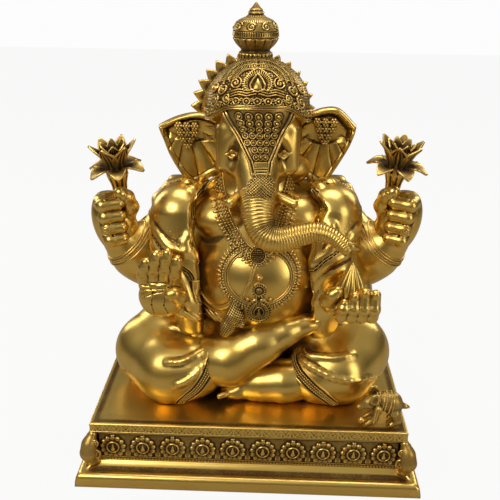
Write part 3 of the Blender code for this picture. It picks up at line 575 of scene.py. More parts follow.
# %% Corner scrolls
for depth, y_sign in (("front", -1), ("back", 1)):
    for side, x_sign in (("right", -1), ("left", 1)):
        node = f"corner_scroll_{depth}_{side}"
        low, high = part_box(node)
        x, y = x_sign * (BODY_X + 0.004), y_sign * (BODY_Y + 0.004)
        out = np.array([x_sign, y_sign, 0]) / math.sqrt(2)

        def bracket(p, x=x, y=y, out=out):
            """A corner's curled bracket: a bent chain on a short foot."""
            at = lambda push, z, r: (x + out[0] * push, y + out[1] * push, z, r)
            field = chain(p, [at(0.000, 0.0305, 0.0080), at(0.005, 0.0430, 0.0100),
                              at(0.003, 0.0560, 0.0085),
                              at(-0.003, 0.0690, 0.0060)], 0.008)
            field = blend(field, link(p, at(0.001, 0.0295, 0.0090), at(-0.001, 0.0295, 0.0090)), 0.004)
            return field

        cast(node + "_bracket", bracket, np.array(low) - 0.004, np.array(high) + 0.004, 0.0009, (node,),
             "antique",
             floor=FOOT_HIGH[2] - 0.002)
        scrolls = []
        for face in (0, 1):
            for centre_z, radius, start, way in ((0.0420, 0.0078, 1.2, 1), (0.0605, 0.0052, 4.4, -1)):
                flat = spiral((0, 0), radius, 1.6, start, way, 40)
                path = np.zeros((len(flat), 3))
                path[:, 2] = centre_z + flat[:, 1]
                path[:, face] = ((x, y)[face] - (x_sign, y_sign)[face] * 0.006 + (x_sign, y_sign)[face]
                                 * flat[:, 0])
                path[:, 1 - face] = (y, x)[face] + (y_sign, x_sign)[face] * 0.0062
                normal = np.zeros((len(flat), 3))
                normal[:, 1 - face] = (y_sign, x_sign)[face]
                scrolls.append(tube(path, normal, np.linspace(0.0015, 0.0009, len(flat)), 8))
        make_piece(node + "_scrolls", *joined(scrolls), kind="antique")

# %% [markdown]
# ## The seated body
# The body is a handful of ellipsoids, blended widely so that chest, belly and back flow together. The
# two breasts are blended more tightly, which leaves the soft fold above the belly. The field stays at
# hand, because the necklaces, the sacred thread and the shawl are laid on it later.

# %% Body field


def body(p):
    """Hips, belly, waist, chest, breasts and neck, blended."""
    f = blob(p, (0.004, 0.032, 0.140), (0.112, 0.080, 0.080))
    f = blend(f, blob(p, (0.006, 0.000, 0.205), (0.090, 0.072, 0.070)), 0.03)
    f = blend(f, blob(p, (0.008, -0.018, 0.262), (0.086, 0.081, 0.080)), 0.03)
    f = blend(f, blob(p, (0.004, 0.014, 0.322), (0.100, 0.056, 0.056)), 0.03)
    f = blend(f, blob(p, (-0.046, -0.024, 0.336), (0.036, 0.034, 0.030), (0, 0, -20)), 0.009)
    f = blend(f, blob(p, (0.058, -0.024, 0.342), (0.036, 0.034, 0.030), (0, 0, 20)), 0.009)
    f = blend(f, blob(p, (0.003, 0.014, 0.378), (0.050, 0.044, 0.045)), 0.02)
    navel = blob(p, (0.010, -0.100, 0.252), (0.004, 0.006, 0.003))
    return carve(f, navel, 0.003)


cast("body", body, (-0.125, -0.105, SEAT - 0.004), (0.130, 0.118, 0.430), 0.0024, ("torso",),
     floor=SEAT + 0.0004)

# %% [markdown]
# ## The crossed legs
# Each leg is a thigh and a folded shin inside the dhoti, so two chains of links blend into one rounded
# mass with a soft valley between them. Low ridges over the cloth are its pleats: thin links are laid
# on the surface and blended in, which is how a wax modeller adds a roll of wax.

# %% Legs
RIGHT_THIGH = [(-0.050, 0.035, 0.155, 0.064), (-0.102, -0.004, 0.148, 0.057),
               (-0.148, -0.030, 0.138, 0.047)]
RIGHT_CALF = [(-0.148, -0.034, 0.130, 0.044), (-0.112, -0.070, 0.127, 0.043),
              (-0.075, -0.078, 0.136, 0.042)]
LEFT_THIGH = [(0.055, 0.035, 0.160, 0.064), (0.106, -0.004, 0.153, 0.058), (0.148, -0.026, 0.142, 0.049)]
LEFT_CALF = [(0.148, -0.030, 0.134, 0.046), (0.122, -0.062, 0.128, 0.043), (0.088, -0.070, 0.124, 0.038)]


def leg_base(p, thigh, calf):
    """A leg without its cloth: the thigh and the calf, blended at the knee."""
    return blend(chain(p, thigh, 0.03), chain(p, calf, 0.03), 0.012)


def pleated(p, base, ridges, radius, k):
    """A field with rolls of wax laid on it: each ridge is a chain of thin links through its points."""
    f = base(p)
    near = f < 0.02
    q = p[near]
    g = f[near]
    for ridge in ridges:
        for a, b in zip(ridge[:-1], ridge[1:]):
            g = blend(g, link(q, (*a, radius), (*b, radius)), k)
    f = f.copy()
    f[near] = g
    return f


def laid(base, points, count=14, lift=-0.0005):
    """A smooth curve through rough points, brought down on a field."""
    return onto(base, curve_through(points, count), lift)


right_base = lambda p: leg_base(p, RIGHT_THIGH, RIGHT_CALF)
left_base = lambda p: leg_base(p, LEFT_THIGH, LEFT_CALF)
right_pleats = [
    laid(right_base, [(-0.046, -0.080, 0.200), (-0.055, -0.095, 0.182), (-0.085, -0.105, 0.160),
                      (-0.110, -0.100, 0.152)]),
    laid(right_base, [(-0.040, -0.085, 0.196), (-0.050, -0.105, 0.170), (-0.078, -0.118, 0.142),
                      (-0.100, -0.115, 0.130)]),
    laid(right_base, [(-0.050, -0.070, 0.206), (-0.075, -0.070, 0.196), (-0.110, -0.060, 0.190)]),
]
left_pleats = [
    laid(left_base, [(0.058, -0.085, 0.185), (0.085, -0.090, 0.168), (0.114, -0.090, 0.160),
                     (0.135, -0.080, 0.156)]),
    laid(left_base, [(0.048, -0.090, 0.180), (0.080, -0.100, 0.156), (0.120, -0.105, 0.140),
                     (0.160, -0.080, 0.131)]),
    laid(left_base, [(0.065, -0.070, 0.206), (0.095, -0.060, 0.204), (0.130, -0.045, 0.196)]),
]
right_leg = lambda p: pleated(p, right_base, right_pleats, 0.0016, 0.006)
left_leg = lambda p: pleated(p, left_base, left_pleats, 0.0016, 0.006)
cast("right_leg", right_leg, (-0.205, -0.130, SEAT - 0.004), (0.005, 0.104, 0.226), 0.0020, ("right_leg",),
     floor=SEAT + 0.0004)
cast("left_leg", left_leg, (-0.006, -0.122, SEAT - 0.004), (0.208, 0.104, 0.230), 0.0020, ("left_leg",),
     floor=SEAT + 0.0004)

# %% [markdown]
# The bare shins come out of the cuffs. The right one lies on top and ends in a foot turned sole up on
# the left thigh. The left one runs below it to its toes. Toes are short links in a row.

# %% Shins and feet
RIGHT_SHIN = [(-0.085, -0.070, 0.138, 0.034), (-0.030, -0.082, 0.152, 0.0335),
              (0.012, -0.080, 0.176, 0.026),
              (0.046, -0.076, 0.192, 0.0185)]
LEFT_SHIN = [(0.090, -0.070, 0.120, 0.030), (0.046, -0.078, 0.116, 0.0260), (0.010, -0.078, 0.112, 0.0210),
             (-0.012, -0.080, 0.107, 0.0150)]


def toes(p, heel, ball, spread, length, radius, big_first):
    """Five links side by side at the end of a foot, the big toe thicker."""
    heel, ball, spread = np.array(heel), np.array(ball), np.array(spread)
    ahead = (ball - heel) / np.linalg.norm(ball - heel)
    f = None
    for i in range(5):
        across = spread * (i / 4 - 0.5)
        big = 1.35 if i == (0 if big_first else 4) else 1.0
        reach = length * (1.0 - 0.10 * abs(i - (0 if big_first else 4)))
        toe = link(p, (*(ball + across), radius * big),
                   (*(ball + across + ahead * reach), radius * big * 0.85))
        f = toe if f is None else blend(f, toe, 0.0015)
    return f


def right_shin(p):
    """The bare right shin with its foot and toes, crossed in front of the lap."""
    f = chain(p, RIGHT_SHIN, 0.02)
    foot = blend(link(p, (0.046, -0.076, 0.192, 0.0185), (0.072, -0.070, 0.201, 0.0145)),
                 blob(p, (0.082, -0.064, 0.203), (0.020, 0.016, 0.010), (0, -12, 20)), 0.01)
    f = blend(f, foot, 0.01)
    return blend(f, toes(p, (0.06, -0.07, 0.197), (0.094, -0.064, 0.203), (0.004, 0.020, -0.012), 0.010,
                         0.0036, True),
                 0.003)


def left_shin(p):
    """The bare left shin under the other leg, with its toes."""
    f = chain(p, LEFT_SHIN, 0.02)
    f = blend(f, blob(p, (-0.022, -0.084, 0.103), (0.019, 0.016, 0.011), (0, 6, 15)), 0.008)
    return blend(f, toes(p, (-0.005, -0.08, 0.107), (-0.031, -0.088, 0.101), (-0.006, -0.022, 0.008), 0.008,
                         0.0034,
                         False), 0.003)


cast("right_shin", right_shin, (-0.124, -0.122, 0.100), (0.112, -0.030, 0.222), 0.0016, ("right_shin",))
cast("left_shin", left_shin, (-0.050, -0.112, SEAT - 0.004), (0.124, -0.034, 0.156), 0.0016, ("left_shin",),
     floor=SEAT + 0.0004)

# %% [markdown]
# ## Hem bands
# A hem is a flat band with two raised rims and a row of beads between them. One function lays such a
# band on any field: the path is brought down on the surface, the field's slope gives the normals, and
# the beads are spaced along it.

# %% Hem bands
BAND = np.array([(-1.0, -0.9), (-1.0, 0.55), (-0.88, 0.95), (-0.72, 0.55), (-0.66, 0.25), (0, 0.22),
                 (0.66, 0.25),
                 (0.72, 0.55), (0.88, 0.95), (1.0, 0.55), (1.0, -0.9)])


def hem(name, field, points, width, height=0.0012, count=70, closed=False, bead=0.0011, rows=1, taper=True):
    """A band along a path on a field: BAND scaled to width and height, with rows of beads on it."""
    path = curve_through(points, count)
    path = onto(field, path, 0.0002)
    normals = slope(field, path)
    end = (np.clip(np.minimum(np.arange(count), np.arange(count)[::-1]) / 4, 0.25, 1) if taper
           else np.ones(count))
    profile = BAND[None] * np.stack([width / 2 * end, np.full(count, height)], -1)[:, None]
    parts = [sweep(path, normals, profile, closed)]
    along = np.gradient(path, axis=0)
    side = np.cross(along, normals)
    side /= np.linalg.norm(side, axis=1, keepdims=True) + 1e-12
    for row in range(rows):
        shift = (row - (rows - 1) / 2) * width * 0.52 / max(rows, 1)
        line, direction = spaced(path + side * shift, bead * 2.1)
        line = onto(field, line, height * 0.55, 2)
        parts.append(beads(line, slope(field, line),
                           np.tile([bead, bead * 0.8, bead * 0.8], (len(line), 1)), direction))
    return make_piece(name, *joined(parts), kind="antique")


hem("right_cuff_hem", right_leg, [(-0.030, -0.080, 0.196), (-0.036, -0.098, 0.184), (-0.044, -0.112, 0.168),
    (-0.056, -0.118, 0.146), (-0.072, -0.118, 0.124), (-0.090, -0.112, 0.104), (-0.094, -0.106, 0.093)],
    0.0190,
    height=0.0018, rows=3, bead=0.0015)
hem("left_cuff_hem", left_leg, [(0.028, -0.078, 0.176), (0.040, -0.095, 0.164), (0.056, -0.106, 0.150),
    (0.080, -0.110, 0.132), (0.104, -0.108, 0.112), (0.118, -0.100, 0.098)], 0.0190, height=0.0018, rows=3,
    bead=0.0015)
for side_name, field, ridges in (("right", right_leg, right_pleats), ("left", left_leg, left_pleats)):
    for number, ridge in enumerate(ridges[:2], 1):
        line, direction = spaced(curve_through(ridge, 60), 0.0019)
        line = onto(field, line, 0.0001, 3)
        made = beads(line, slope(field, line), np.tile([0.0011, 0.0008, 0.0007], (len(line), 1)), direction)
        make_piece(f"{side_name}_pleat_beads_{number}", *made, kind="antique")

# %% [markdown]
# ## Arms
# Four arms come out of the shawl. A rear arm bends at the elbow and rises to its fist, so its chain
# of links turns back on itself, and a wide blend fills the crook. Each rear wrist wears a bracelet of
# thin rings, each of which is walked round the arm and brought down on it.

# %% Arm fields
REAR_RIGHT = [(-0.098, 0.025, 0.338, 0.036), (-0.128, 0.014, 0.288, 0.034), (-0.148, 0.002, 0.258, 0.0300),
              (-0.167, -0.008, 0.275, 0.0285), (-0.184, -0.018, 0.300, 0.0240)]
REAR_LEFT = [(0.102, 0.025, 0.343, 0.036), (0.132, 0.014, 0.297, 0.034), (0.153, 0.002, 0.267, 0.0300),
             (0.172, -0.008, 0.285, 0.0285), (0.189, -0.018, 0.309, 0.0240)]
FRONT_RIGHT = [(-0.088, -0.004, 0.325, 0.034), (-0.114, -0.022, 0.250, 0.030),
               (-0.119, -0.060, 0.240, 0.0240),
               (-0.120, -0.078, 0.238, 0.0210)]
FRONT_LEFT = [(0.096, -0.004, 0.330, 0.034), (0.124, -0.022, 0.255, 0.030), (0.132, -0.060, 0.248, 0.0240),
              (0.134, -0.080, 0.246, 0.0210)]


def arm(stations):
    """The field of one bare arm."""
    return lambda p: chain(p, stations, 0.024)


for name, stations in (("right_rear_arm", REAR_RIGHT), ("left_rear_arm", REAR_LEFT),
                       ("right_front_arm", FRONT_RIGHT), ("left_front_arm", FRONT_LEFT)):
    spots = np.array(stations)
    low, high = (spots[:, :3] - spots[:, 3:]).min(0) - 0.006, (spots[:, :3] + spots[:, 3:]).max(0) + 0.006
    cast(name, arm(stations), low, high, 0.0024, (name,))


def around(field, centre, axis, count=72, reach=0.05):
    """A closed line round a limb: from the centre outwards in every direction square to the axis."""
    centre, axis = np.array(centre, float), np.array(axis, float)
    axis /= np.linalg.norm(axis)
    first = np.cross(axis, [0.31, 0.2, 0.93])
    first /= np.linalg.norm(first)
    second = np.cross(axis, first)
    angle = TAU * np.arange(count) / count
    ways = np.cos(angle)[:, None] * first + np.sin(angle)[:, None] * second
    low, high = np.zeros(count), np.full(count, reach)
    for _ in range(16):
        middle = (low + high) / 2
        inside = field((centre + ways * middle[:, None]).astype(np.float32)) < 0
        low, high = np.where(inside, middle, low), np.where(inside, high, middle)
    path = centre + ways * low[:, None]
    return path, ways


def bracelet(name, field, centre, axis, rings, lift=0.0004, kind="antique"):
    """Rings (shift along the axis, radius, beaded) round a limb, as one piece."""
    axis = np.array(axis, float) / np.linalg.norm(axis)
    parts = []
    for shift, radius, beaded in rings:
        path, ways = around(field, np.array(centre) + axis * shift, axis)
        path = path + ways * lift
        if beaded:
            line, direction = spaced(np.vstack([path, path[:1]]), radius * 2.05)
            normals = line - (np.array(centre) + axis * shift)
            parts.append(beads(line[:-1], normals[:-1], np.full(len(line) - 1, radius), direction[:-1]))
        else:
            parts.append(tube(path, ways, radius, 8, closed=True))
    return make_piece(name, *joined(parts), kind=kind)


WRIST_RINGS = [(-0.0060, 0.0016, False), (-0.0025, 0.0013, True), (0.0008, 0.0016, False),
               (0.0040, 0.0013, False)]
bracelet("right_rear_bracelet", arm(REAR_RIGHT), (-0.1775, -0.0145, 0.2905), (-0.45, -0.25, 0.62),
         WRIST_RINGS)
bracelet("left_rear_bracelet", arm(REAR_LEFT), (0.1825, -0.0145, 0.2995), (0.45, -0.25, 0.62), WRIST_RINGS)

# %% [markdown]
# ## Hands
# A finger is a chain of three links, so a hand is a palm and five chains with small blends, which keep
# the creases between the fingers. Lines of the palm are thin links taken out of the field again.

# %% Fists
FIST_LEAN = 9
FINGER_TOP, FINGER_STEP = 0.0270, 0.0165


def fist_field(grip, x_sign):
    """Four fingers wrapped round a stem, one above the other, with the thumb beside them."""
    grip = np.array(grip, np.float32)
    lean = np.array(Matrix.Rotation(math.radians(FIST_LEAN * x_sign), 3, "Y"), np.float32)

    def field(p):
        """The fist at a place, in the leaning frame of its stem, mirrored for the right hand."""
        q = (p - grip) @ lean
        q = q * np.array([x_sign, 1, 1], np.float32)
        f = blob(q, (0.002, 0.002, 0.000), (0.026, 0.022, 0.038))
        f = blend(f, blob(q, (0.0125, 0.000, -0.002), (0.0180, 0.0250, 0.0395)), 0.008)
        f = blend(f, link(q, (-0.003, 0.004, -0.020, 0.024), (-0.004, 0.002, -0.040, 0.0225)), 0.012)
        for level in range(4):
            height = FINGER_TOP - FINGER_STEP * level
            outer, inner = 0.0150 - 0.0016 * abs(level - 1.2), -0.0145 + 0.0015 * level
            finger = chain(q, [(outer - 0.003, 0.004, height, 0.0088),
                               (outer - 0.001, -0.010, height, 0.0088),
                               (0.006, -0.0240, height - 0.001, 0.0086),
                               (inner, -0.0200, height - 0.002, 0.0078)],
                           0.006)
            f = blend(f, finger, 0.0022)
            crease = link(q, (outer - 0.011, -0.028, height + 0.007, 0.0012),
                          (outer - 0.013, -0.028, height - 0.007, 0.0012))
            f = carve(f, crease, 0.0016)
        thumb = chain(q, [(-0.016, 0.002, -0.004, 0.0105), (-0.0270, -0.006, 0.014, 0.0092),
                          (-0.0255, -0.0120, 0.0300, 0.0088), (-0.0185, -0.0160, 0.0385, 0.0080)], 0.006)
        f = blend(f, thumb, 0.0030)
        nail = blob(q, (-0.0240, -0.0215, 0.0345), (0.0042, 0.0030, 0.0060), (0, -25, 0))
        return blend(f, nail, 0.0010)

    return field


def finger_ring(name, grip, x_sign, level):
    """A ring on one finger of a fist: a domed boss with a bead on top, a rope and beads round it."""
    grip = np.array(grip, float)
    lean = np.array(Matrix.Rotation(math.radians(FIST_LEAN * x_sign), 3, "Y"))
    height = FINGER_TOP - FINGER_STEP * level - 0.001
    angle = TAU * np.arange(28) / 28
    face = np.array([0.0075, -0.0330, height])
    rope = face + np.stack([0.0062 * np.cos(angle), 0.0010 * np.cos(angle), 0.0062 * np.sin(angle)], -1)
    inner = face + np.stack([0.0034 * np.cos(angle), 0 * angle, 0.0034 * np.sin(angle)], -1)
    normal = np.tile([0.12, -1.0, 0.0], (len(angle), 1))
    parts = [tube(rope, normal, 0.0011, 6, True), beads(inner[::3], normal[::3], np.full(10, 0.0011)),
             beads(face[None], normal[:1], [[0.0058, 0.0058, 0.0016]]),
             beads(face[None], normal[:1], [[0.0019, 0.0019, 0.0028]])]
    points, quads = joined(parts)
    points = (points * [x_sign, 1, 1]) @ lean.T + grip
    return make_piece(name, points, quads if x_sign > 0 else quads[:, ::-1], kind="antique")


for name, grip, x_sign in (("right_rear_fist", (-0.189, -0.020, 0.331), -1),
                           ("left_rear_fist", (0.194, -0.020, 0.341), 1)):
    cast(name, fist_field(grip, x_sign), np.array(grip) - 0.066, np.array(grip) + [0.056, 0.050, 0.060],
         0.0013, (name,))
    finger_ring(name + "_ring", grip, x_sign, 2)

# %% [markdown]
# The open palm blesses. Its fingers stand close together, each in three joints, and its lines are cut.

# %% Open hand


def open_palm(p):
    """The blessing hand: a palm, four fingers cut at their joints, a thumb, and the palm's lines."""
    f = blob(p, (-0.1180, -0.088, 0.2480), (0.0300, 0.0150, 0.0270))
    f = blend(f, blob(p, (-0.1040, -0.0920, 0.2420), (0.0150, 0.0140, 0.0210), (0, 20, 0)), 0.006)
    f = blend(f, blob(p, (-0.1320, -0.0915, 0.2440), (0.0130, 0.0120, 0.0210), (0, -8, 0)), 0.006)
    f = blend(f, blob(p, (-0.1180, -0.0930, 0.2650), (0.0270, 0.0100, 0.0090)), 0.005)
    f = blend(f, link(p, (-0.119, -0.070, 0.238, 0.0220), (-0.119, -0.082, 0.240, 0.0200)), 0.008)
    fingers = (((-0.1385, 0.2640), (-0.1400, 0.2800), (-0.1375, 0.2920), (-0.1345, 0.3000), 0.0078),
               ((-0.1265, 0.2680), (-0.1260, 0.2870), (-0.1235, 0.3020), (-0.1210, 0.3105), 0.0083),
               ((-0.1135, 0.2680), (-0.1115, 0.2890), (-0.1085, 0.3050), (-0.1065, 0.3135), 0.0084),
               ((-0.1005, 0.2620), (-0.0985, 0.2820), (-0.0960, 0.2960), (-0.0945, 0.3040), 0.0080))
    for *joints, r in fingers:
        y = (-0.0920, -0.0965, -0.0985, -0.0995)
        shape = (1.06, 1.0, 0.96, 0.82)
        stations = [(x, y[i], z, r * shape[i]) for i, (x, z) in enumerate(joints)]
        f = blend(f, chain(p, stations, 0.003), 0.0022)
        for i in (0, 1, 2):
            x, z = joints[i]
            if i == 0:
                z += 0.004
            cut = link(p, (x - 0.007, y[i] - r * 1.10, z, 0.0010), (x + 0.007, y[i] - r * 1.10, z, 0.0010))
            f = carve(f, cut, 0.0012)
    thumb = chain(p, [(-0.0990, -0.0900, 0.2400, 0.0125), (-0.0930, -0.1000, 0.2530, 0.0100),
                      (-0.0985, -0.1080, 0.2610, 0.0080), (-0.1040, -0.1100, 0.2600, 0.0070)], 0.005)
    f = blend(f, thumb, 0.0024)
    lines = ([(-0.1440, 0.2610), (-0.1300, 0.2630), (-0.1120, 0.2650)],
             [(-0.1400, 0.2520), (-0.1250, 0.2580), (-0.1130, 0.2600)],
             [(-0.1270, 0.2600), (-0.1290, 0.2420), (-0.1265, 0.2280)],
             [(-0.1110, 0.2560), (-0.1130, 0.2420), (-0.1080, 0.2300)])
    near = f < 0.01
    g, q = f[near], p[near]
    for line in lines:
        for (x0, z0), (x1, z1) in zip(line[:-1], line[1:]):
            flat = link(q * np.float32([1, 0, 1]), (x0, 0, z0, 0.0009), (x1, 0, z1, 0.0009))
            g = np.where(q[:, 1] < -0.088, carve(g, np.maximum(flat, -g - 0.0011), 0.0007), g)
    f = f.copy()
    f[near] = g
    return f


cast("right_front_hand", open_palm, (-0.160, -0.124, 0.212), (-0.078, -0.052, 0.326), 0.0010,
     ("right_front_hand",))

# %% [markdown]
# The other front hand is turned up and holds a modak, the pleated sweet. Its fingers curl up in
# front of the sweet. The modak itself is turned: its radius falls to a point, and pleats are lobes.

# %% Offering hand and sweet


def offering_palm(p):
    """The hand turned up: a palm, four fingers curled up with their nails, and a thumb."""
    f = blob(p, (0.1340, -0.0880, 0.2400), (0.0340, 0.0250, 0.0160))
    f = blend(f, link(p, (0.134, -0.062, 0.248, 0.0230), (0.134, -0.084, 0.244, 0.0200)), 0.010)
    f = blend(f, blob(p, (0.1050, -0.0880, 0.2480), (0.0140, 0.0150, 0.0180), (0, 20, 0)), 0.006)
    for number in range(4):
        x = (0.1170, 0.1300, 0.1430, 0.1560)[number]
        top = (0.2560, 0.2660, 0.2710, 0.2690)[number]
        r = (0.0078, 0.0082, 0.0083, 0.0080)[number]
        stations = [(x - 0.003, -0.094, 0.2340, r * 1.1), (x - 0.001, -0.1120, 0.2375, r * 1.05),
                    (x + 0.001, -0.1160, 0.2500, r), (x + 0.002, -0.1130, top, r * 0.86)]
        f = blend(f, chain(p, stations, 0.003), 0.0020)
        nail = blob(p, (x + 0.002, -0.1190, top + 0.001), (0.0045, 0.0022, 0.0048))
        f = blend(f, nail, 0.0008)
        cut = link(p, (x - 0.007, -0.1250, 0.2520, 0.0009), (x + 0.007, -0.1250, 0.2520, 0.0009))
        f = carve(f, cut, 0.0014)
    thumb = chain(p, [(0.1040, -0.0820, 0.2420, 0.0120), (0.0990, -0.0980, 0.2520, 0.0098),
                      (0.1045, -0.1060, 0.2640, 0.0084), (0.1100, -0.1080, 0.2700, 0.0072)], 0.005)
    return blend(f, thumb, 0.0024)


cast("left_front_hand", offering_palm, (0.080, -0.132, 0.214), (0.178, -0.050, 0.286), 0.0010,
     ("left_front_hand",))


def pleated_drop(name, top, height, radius, pleats, node):
    """Radius over height: a belly low down, an ogive above, times lobes that fade at both ends."""
    rows, cols = 60, pleats * 12
    t = np.linspace(0, 1, rows)[:, None]
    angle = TAU * np.arange(cols)[None] / cols
    body_radius = (radius * np.clip(np.sin(math.pi * np.clip(t, 0, 1) ** 0.62), 0, 1) ** 0.75
                   * (1 - 0.35 * t))
    lobes = np.abs(np.cos(angle * pleats / 2)) ** 0.8
    reach = body_radius * (0.86 + 0.16 * lobes)
    x = top[0] + reach * np.cos(angle)
    y = top[1] + reach * np.sin(angle)
    z = top[2] - height * (1 - t) + 0 * angle
    points = np.stack([x, y, z], -1).reshape(-1, 3)
    return make_piece(name, points, outward(points, grid_quads(rows, cols)), (node,))


pleated_drop("modak_sweet", (0.1290, -0.096, 0.3050), 0.052, 0.0205, 12, "modak")

# %% [markdown]
# ## Lotuses
# A petal is a curved leaf: its middle line bends outwards, its width swells and comes to a point,
# and its edge is rolled into a rim. One template is turned round the cup in three whorls.

# %% Lotuses


def petal(length, width, bend, start, rim=0.0009, thick=0.0016):
    """A closed leaf in the (out, across, up) frame.

    Its middle line leaves the cup at angle start from upright and turns by bend over its length. Its
    half width is a sine hump with a pointed end. Three veins and a rolled rim stand on the front.
    """
    rows, cols = 22, 17
    u = np.linspace(0, 1, rows)[:, None]
    v = np.linspace(-1, 1, cols)[None]
    angle = start + bend * u**1.3
    step = length / (rows - 1)
    out = np.concatenate([[[0]], np.cumsum(np.sin(angle[:-1]), 0) * step])
    up = np.concatenate([[[0]], np.cumsum(np.cos(angle[:-1]), 0) * step])
    half = (width * (0.42 + 0.58 * np.sin(math.pi * 0.62 * np.clip(u, 0, 1) ** 0.9))
            * np.clip((1 - u) * 2.0, 0, 1) ** 0.75)
    half = np.maximum(half, 0.0004)
    cup = -0.30 * half * (v**2) * np.sin(math.pi * np.clip(u + 0.1, 0, 1))
    relief = rim * (np.exp(-(((np.abs(v) - 0.86) / 0.12) ** 2)) + 0.7 * np.exp(-((v / 0.12) ** 2))
                    + 0.5 * np.exp(-(((np.abs(v) - 0.42) / 0.09) ** 2)))
    front = thick / 2 + cup + relief * np.clip(u * 5, 0, 1)
    back = -thick / 2 + cup
    cos, sin = np.cos(angle), np.sin(angle)
    sheets = []
    for height in (front, back):
        sheets.append(np.stack([out - cos * height * -1, half * v, up - sin * height], -1))
    top, bottom = sheets
    ring = np.concatenate([top, bottom[:, ::-1]], 1)
    points = ring.reshape(-1, 3)
    caps = [np.repeat(ring[end].mean(0)[None], ring.shape[1], 0) for end in (0, -1)]
    points = np.concatenate([caps[0], points, caps[1]])
    return points, grid_quads(rows + 2, ring.shape[1])


def whorl(base, count, phase, lean, root, height, *leaf):
    """Petals spread evenly round a cup."""
    points, quads = petal(*leaf)
    parts = []
    for number in range(count):
        spin = Matrix.Rotation(TAU * (number + phase) / count, 3, "Z")
        placed = (points + [root, 0, height]) @ np.array(lean @ spin).T + base
        parts.append((placed, outward(placed, quads)))
    return joined(parts)


def lotus(name, base, x_sign, node):
    """A lotus in a fist: a turned stalk, three whorls of petals and a cluster of seeds, as one piece."""
    base = np.array(base)
    lean = Euler((math.radians(7), math.radians(5 * x_sign), 0)).to_matrix()
    rows, cols = 44, 48
    t = np.linspace(0, 1, rows)[:, None]
    angle = TAU * np.arange(cols)[None] / cols
    heights = np.interp(t, [0, 0.12, 0.3, 0.42, 0.62, 0.8, 1],
                        [-0.020, -0.012, 0.004, 0.018, 0.028, 0.036, 0.038])
    radii = np.interp(t, [0, 0.12, 0.3, 0.42, 0.62, 0.8, 0.93, 1],
                      [0.004, 0.0090, 0.0105, 0.0145, 0.0130, 0.0140, 0.008, 0.0002])
    radii = radii * (1 + 0.05 * np.cos(angle * 10) * (t > 0.2))
    stalk = np.stack([radii * np.cos(angle), radii * np.sin(angle), heights + 0 * angle], -1).reshape(-1, 3)
    stalk = stalk @ np.array(lean).T + base
    parts = [(stalk, outward(stalk, grid_quads(rows, cols)))]
    parts.append(whorl(base, 6, 0.25, lean, 0.0095, 0.0240, 0.0430, 0.0135, 0.40, 0.34, 0.0012))
    parts.append(whorl(base, 6, 0.75, lean, 0.0070, 0.0260, 0.0370, 0.0120, 0.20, 0.20, 0.0012))
    parts.append(whorl(base, 6, 0.75, lean, 0.0110, 0.0250, 0.0310, 0.0130, 1.10, 1.20, 0.0012))
    seeds = ([(0.0035 * math.cos(a), 0.0035 * math.sin(a), 0.0385) for a in TAU * np.arange(6) / 6]
             + [(0, 0, 0.039)])
    seeds = np.array(seeds) @ np.array(lean).T + base
    parts.append(beads(seeds, np.tile([0, 0, 1.0], (7, 1)), np.full(7, 0.0020)))
    return make_piece(name, *joined(parts), (node,), "antique")


lotus("right_lotus_flower", (-0.181, -0.018, 0.376), -1, "right_lotus")
lotus("left_lotus_flower", (0.184, -0.018, 0.386), 1, "left_lotus")

# %% [markdown]
# ## Head
# An elephant's face narrows from the brow into the trunk. The head is blended ellipsoids, with long
# sockets carved beside the trunk's root, an eye and two lids in each.

# %% Head
TRUNK = [(0.004, -0.046, 0.412, 0.0290), (0.006, -0.074, 0.386, 0.0225), (0.0065, -0.094, 0.366, 0.0192),
         (0.012, -0.103, 0.349, 0.0174), (0.0225, -0.109, 0.3405, 0.0163), (0.040, -0.111, 0.3400, 0.0150),
         (0.0615, -0.1115, 0.3470, 0.0134), (0.0805, -0.1120, 0.3510, 0.0118),
         (0.098, -0.113, 0.3465, 0.0102),
         (0.111, -0.114, 0.3370, 0.0092), (0.118, -0.1145, 0.3290, 0.0084)]
EYES = ((-1, (-0.0285, -0.0480, 0.4300)), (1, (0.0375, -0.0480, 0.4310)))


def head_base(p):
    """The head without its eyes: skull, brow, cheeks, trunk root and the neck behind."""
    f = blob(p, (0.004, 0.004, 0.447), (0.058, 0.056, 0.058))
    f = blend(f, blob(p, (0.004, -0.018, 0.424), (0.047, 0.046, 0.050)), 0.02)
    f = blend(f, chain(p, TRUNK[:2], 0.012), 0.014)
    f = blend(f, blob(p, (0.004, -0.020, 0.482), (0.050, 0.0385, 0.030)), 0.012)
    f = blend(f, blob(p, (0.010, 0.018, 0.396), (0.066, 0.030, 0.032)), 0.012)
    for side, eye in EYES:
        x = eye[0]
        f = blend(f, link(p, (x + side * 0.010, -0.030, 0.458, 0.010),
                          (x + side * 0.0115, -0.034, 0.412, 0.0085)), 0.010)
        f = blend(f, link(p, (0.004 + side * 0.012, -0.050, 0.392, 0.013),
                          (0.004 + side * 0.019, -0.066, 0.380, 0.0105)), 0.010)
    return f


def head(p):
    """The head with a long socket, an eyeball and two lids cut and laid on each side."""
    f = head_base(p)
    for side, (x, y, z) in EYES:
        f = carve(f, blob(p, (x, y - 0.006, z), (0.0085, 0.0105, 0.0240), (0, -12 * side, 0)), 0.006)
        f = blend(f, blob(p, (x, y + 0.0045, z - 0.001), (0.0062, 0.0056, 0.0038)), 0.0015)
        for rise, r in ((0.0052, 0.0013), (-0.0048, 0.0011)):
            lid = chain(p, [(x - 0.0078, y - 0.0005, z - 0.0005, r), (x, y - 0.0028, z + rise, r),
                            (x + 0.0078, y + 0.0005, z + 0.0005, r)], 0.003)
            f = blend(f, lid, 0.0025)
    return f


cast("head", head, (-0.066, -0.122, 0.326), (0.082, 0.066, 0.520), 0.0016, ("head",))

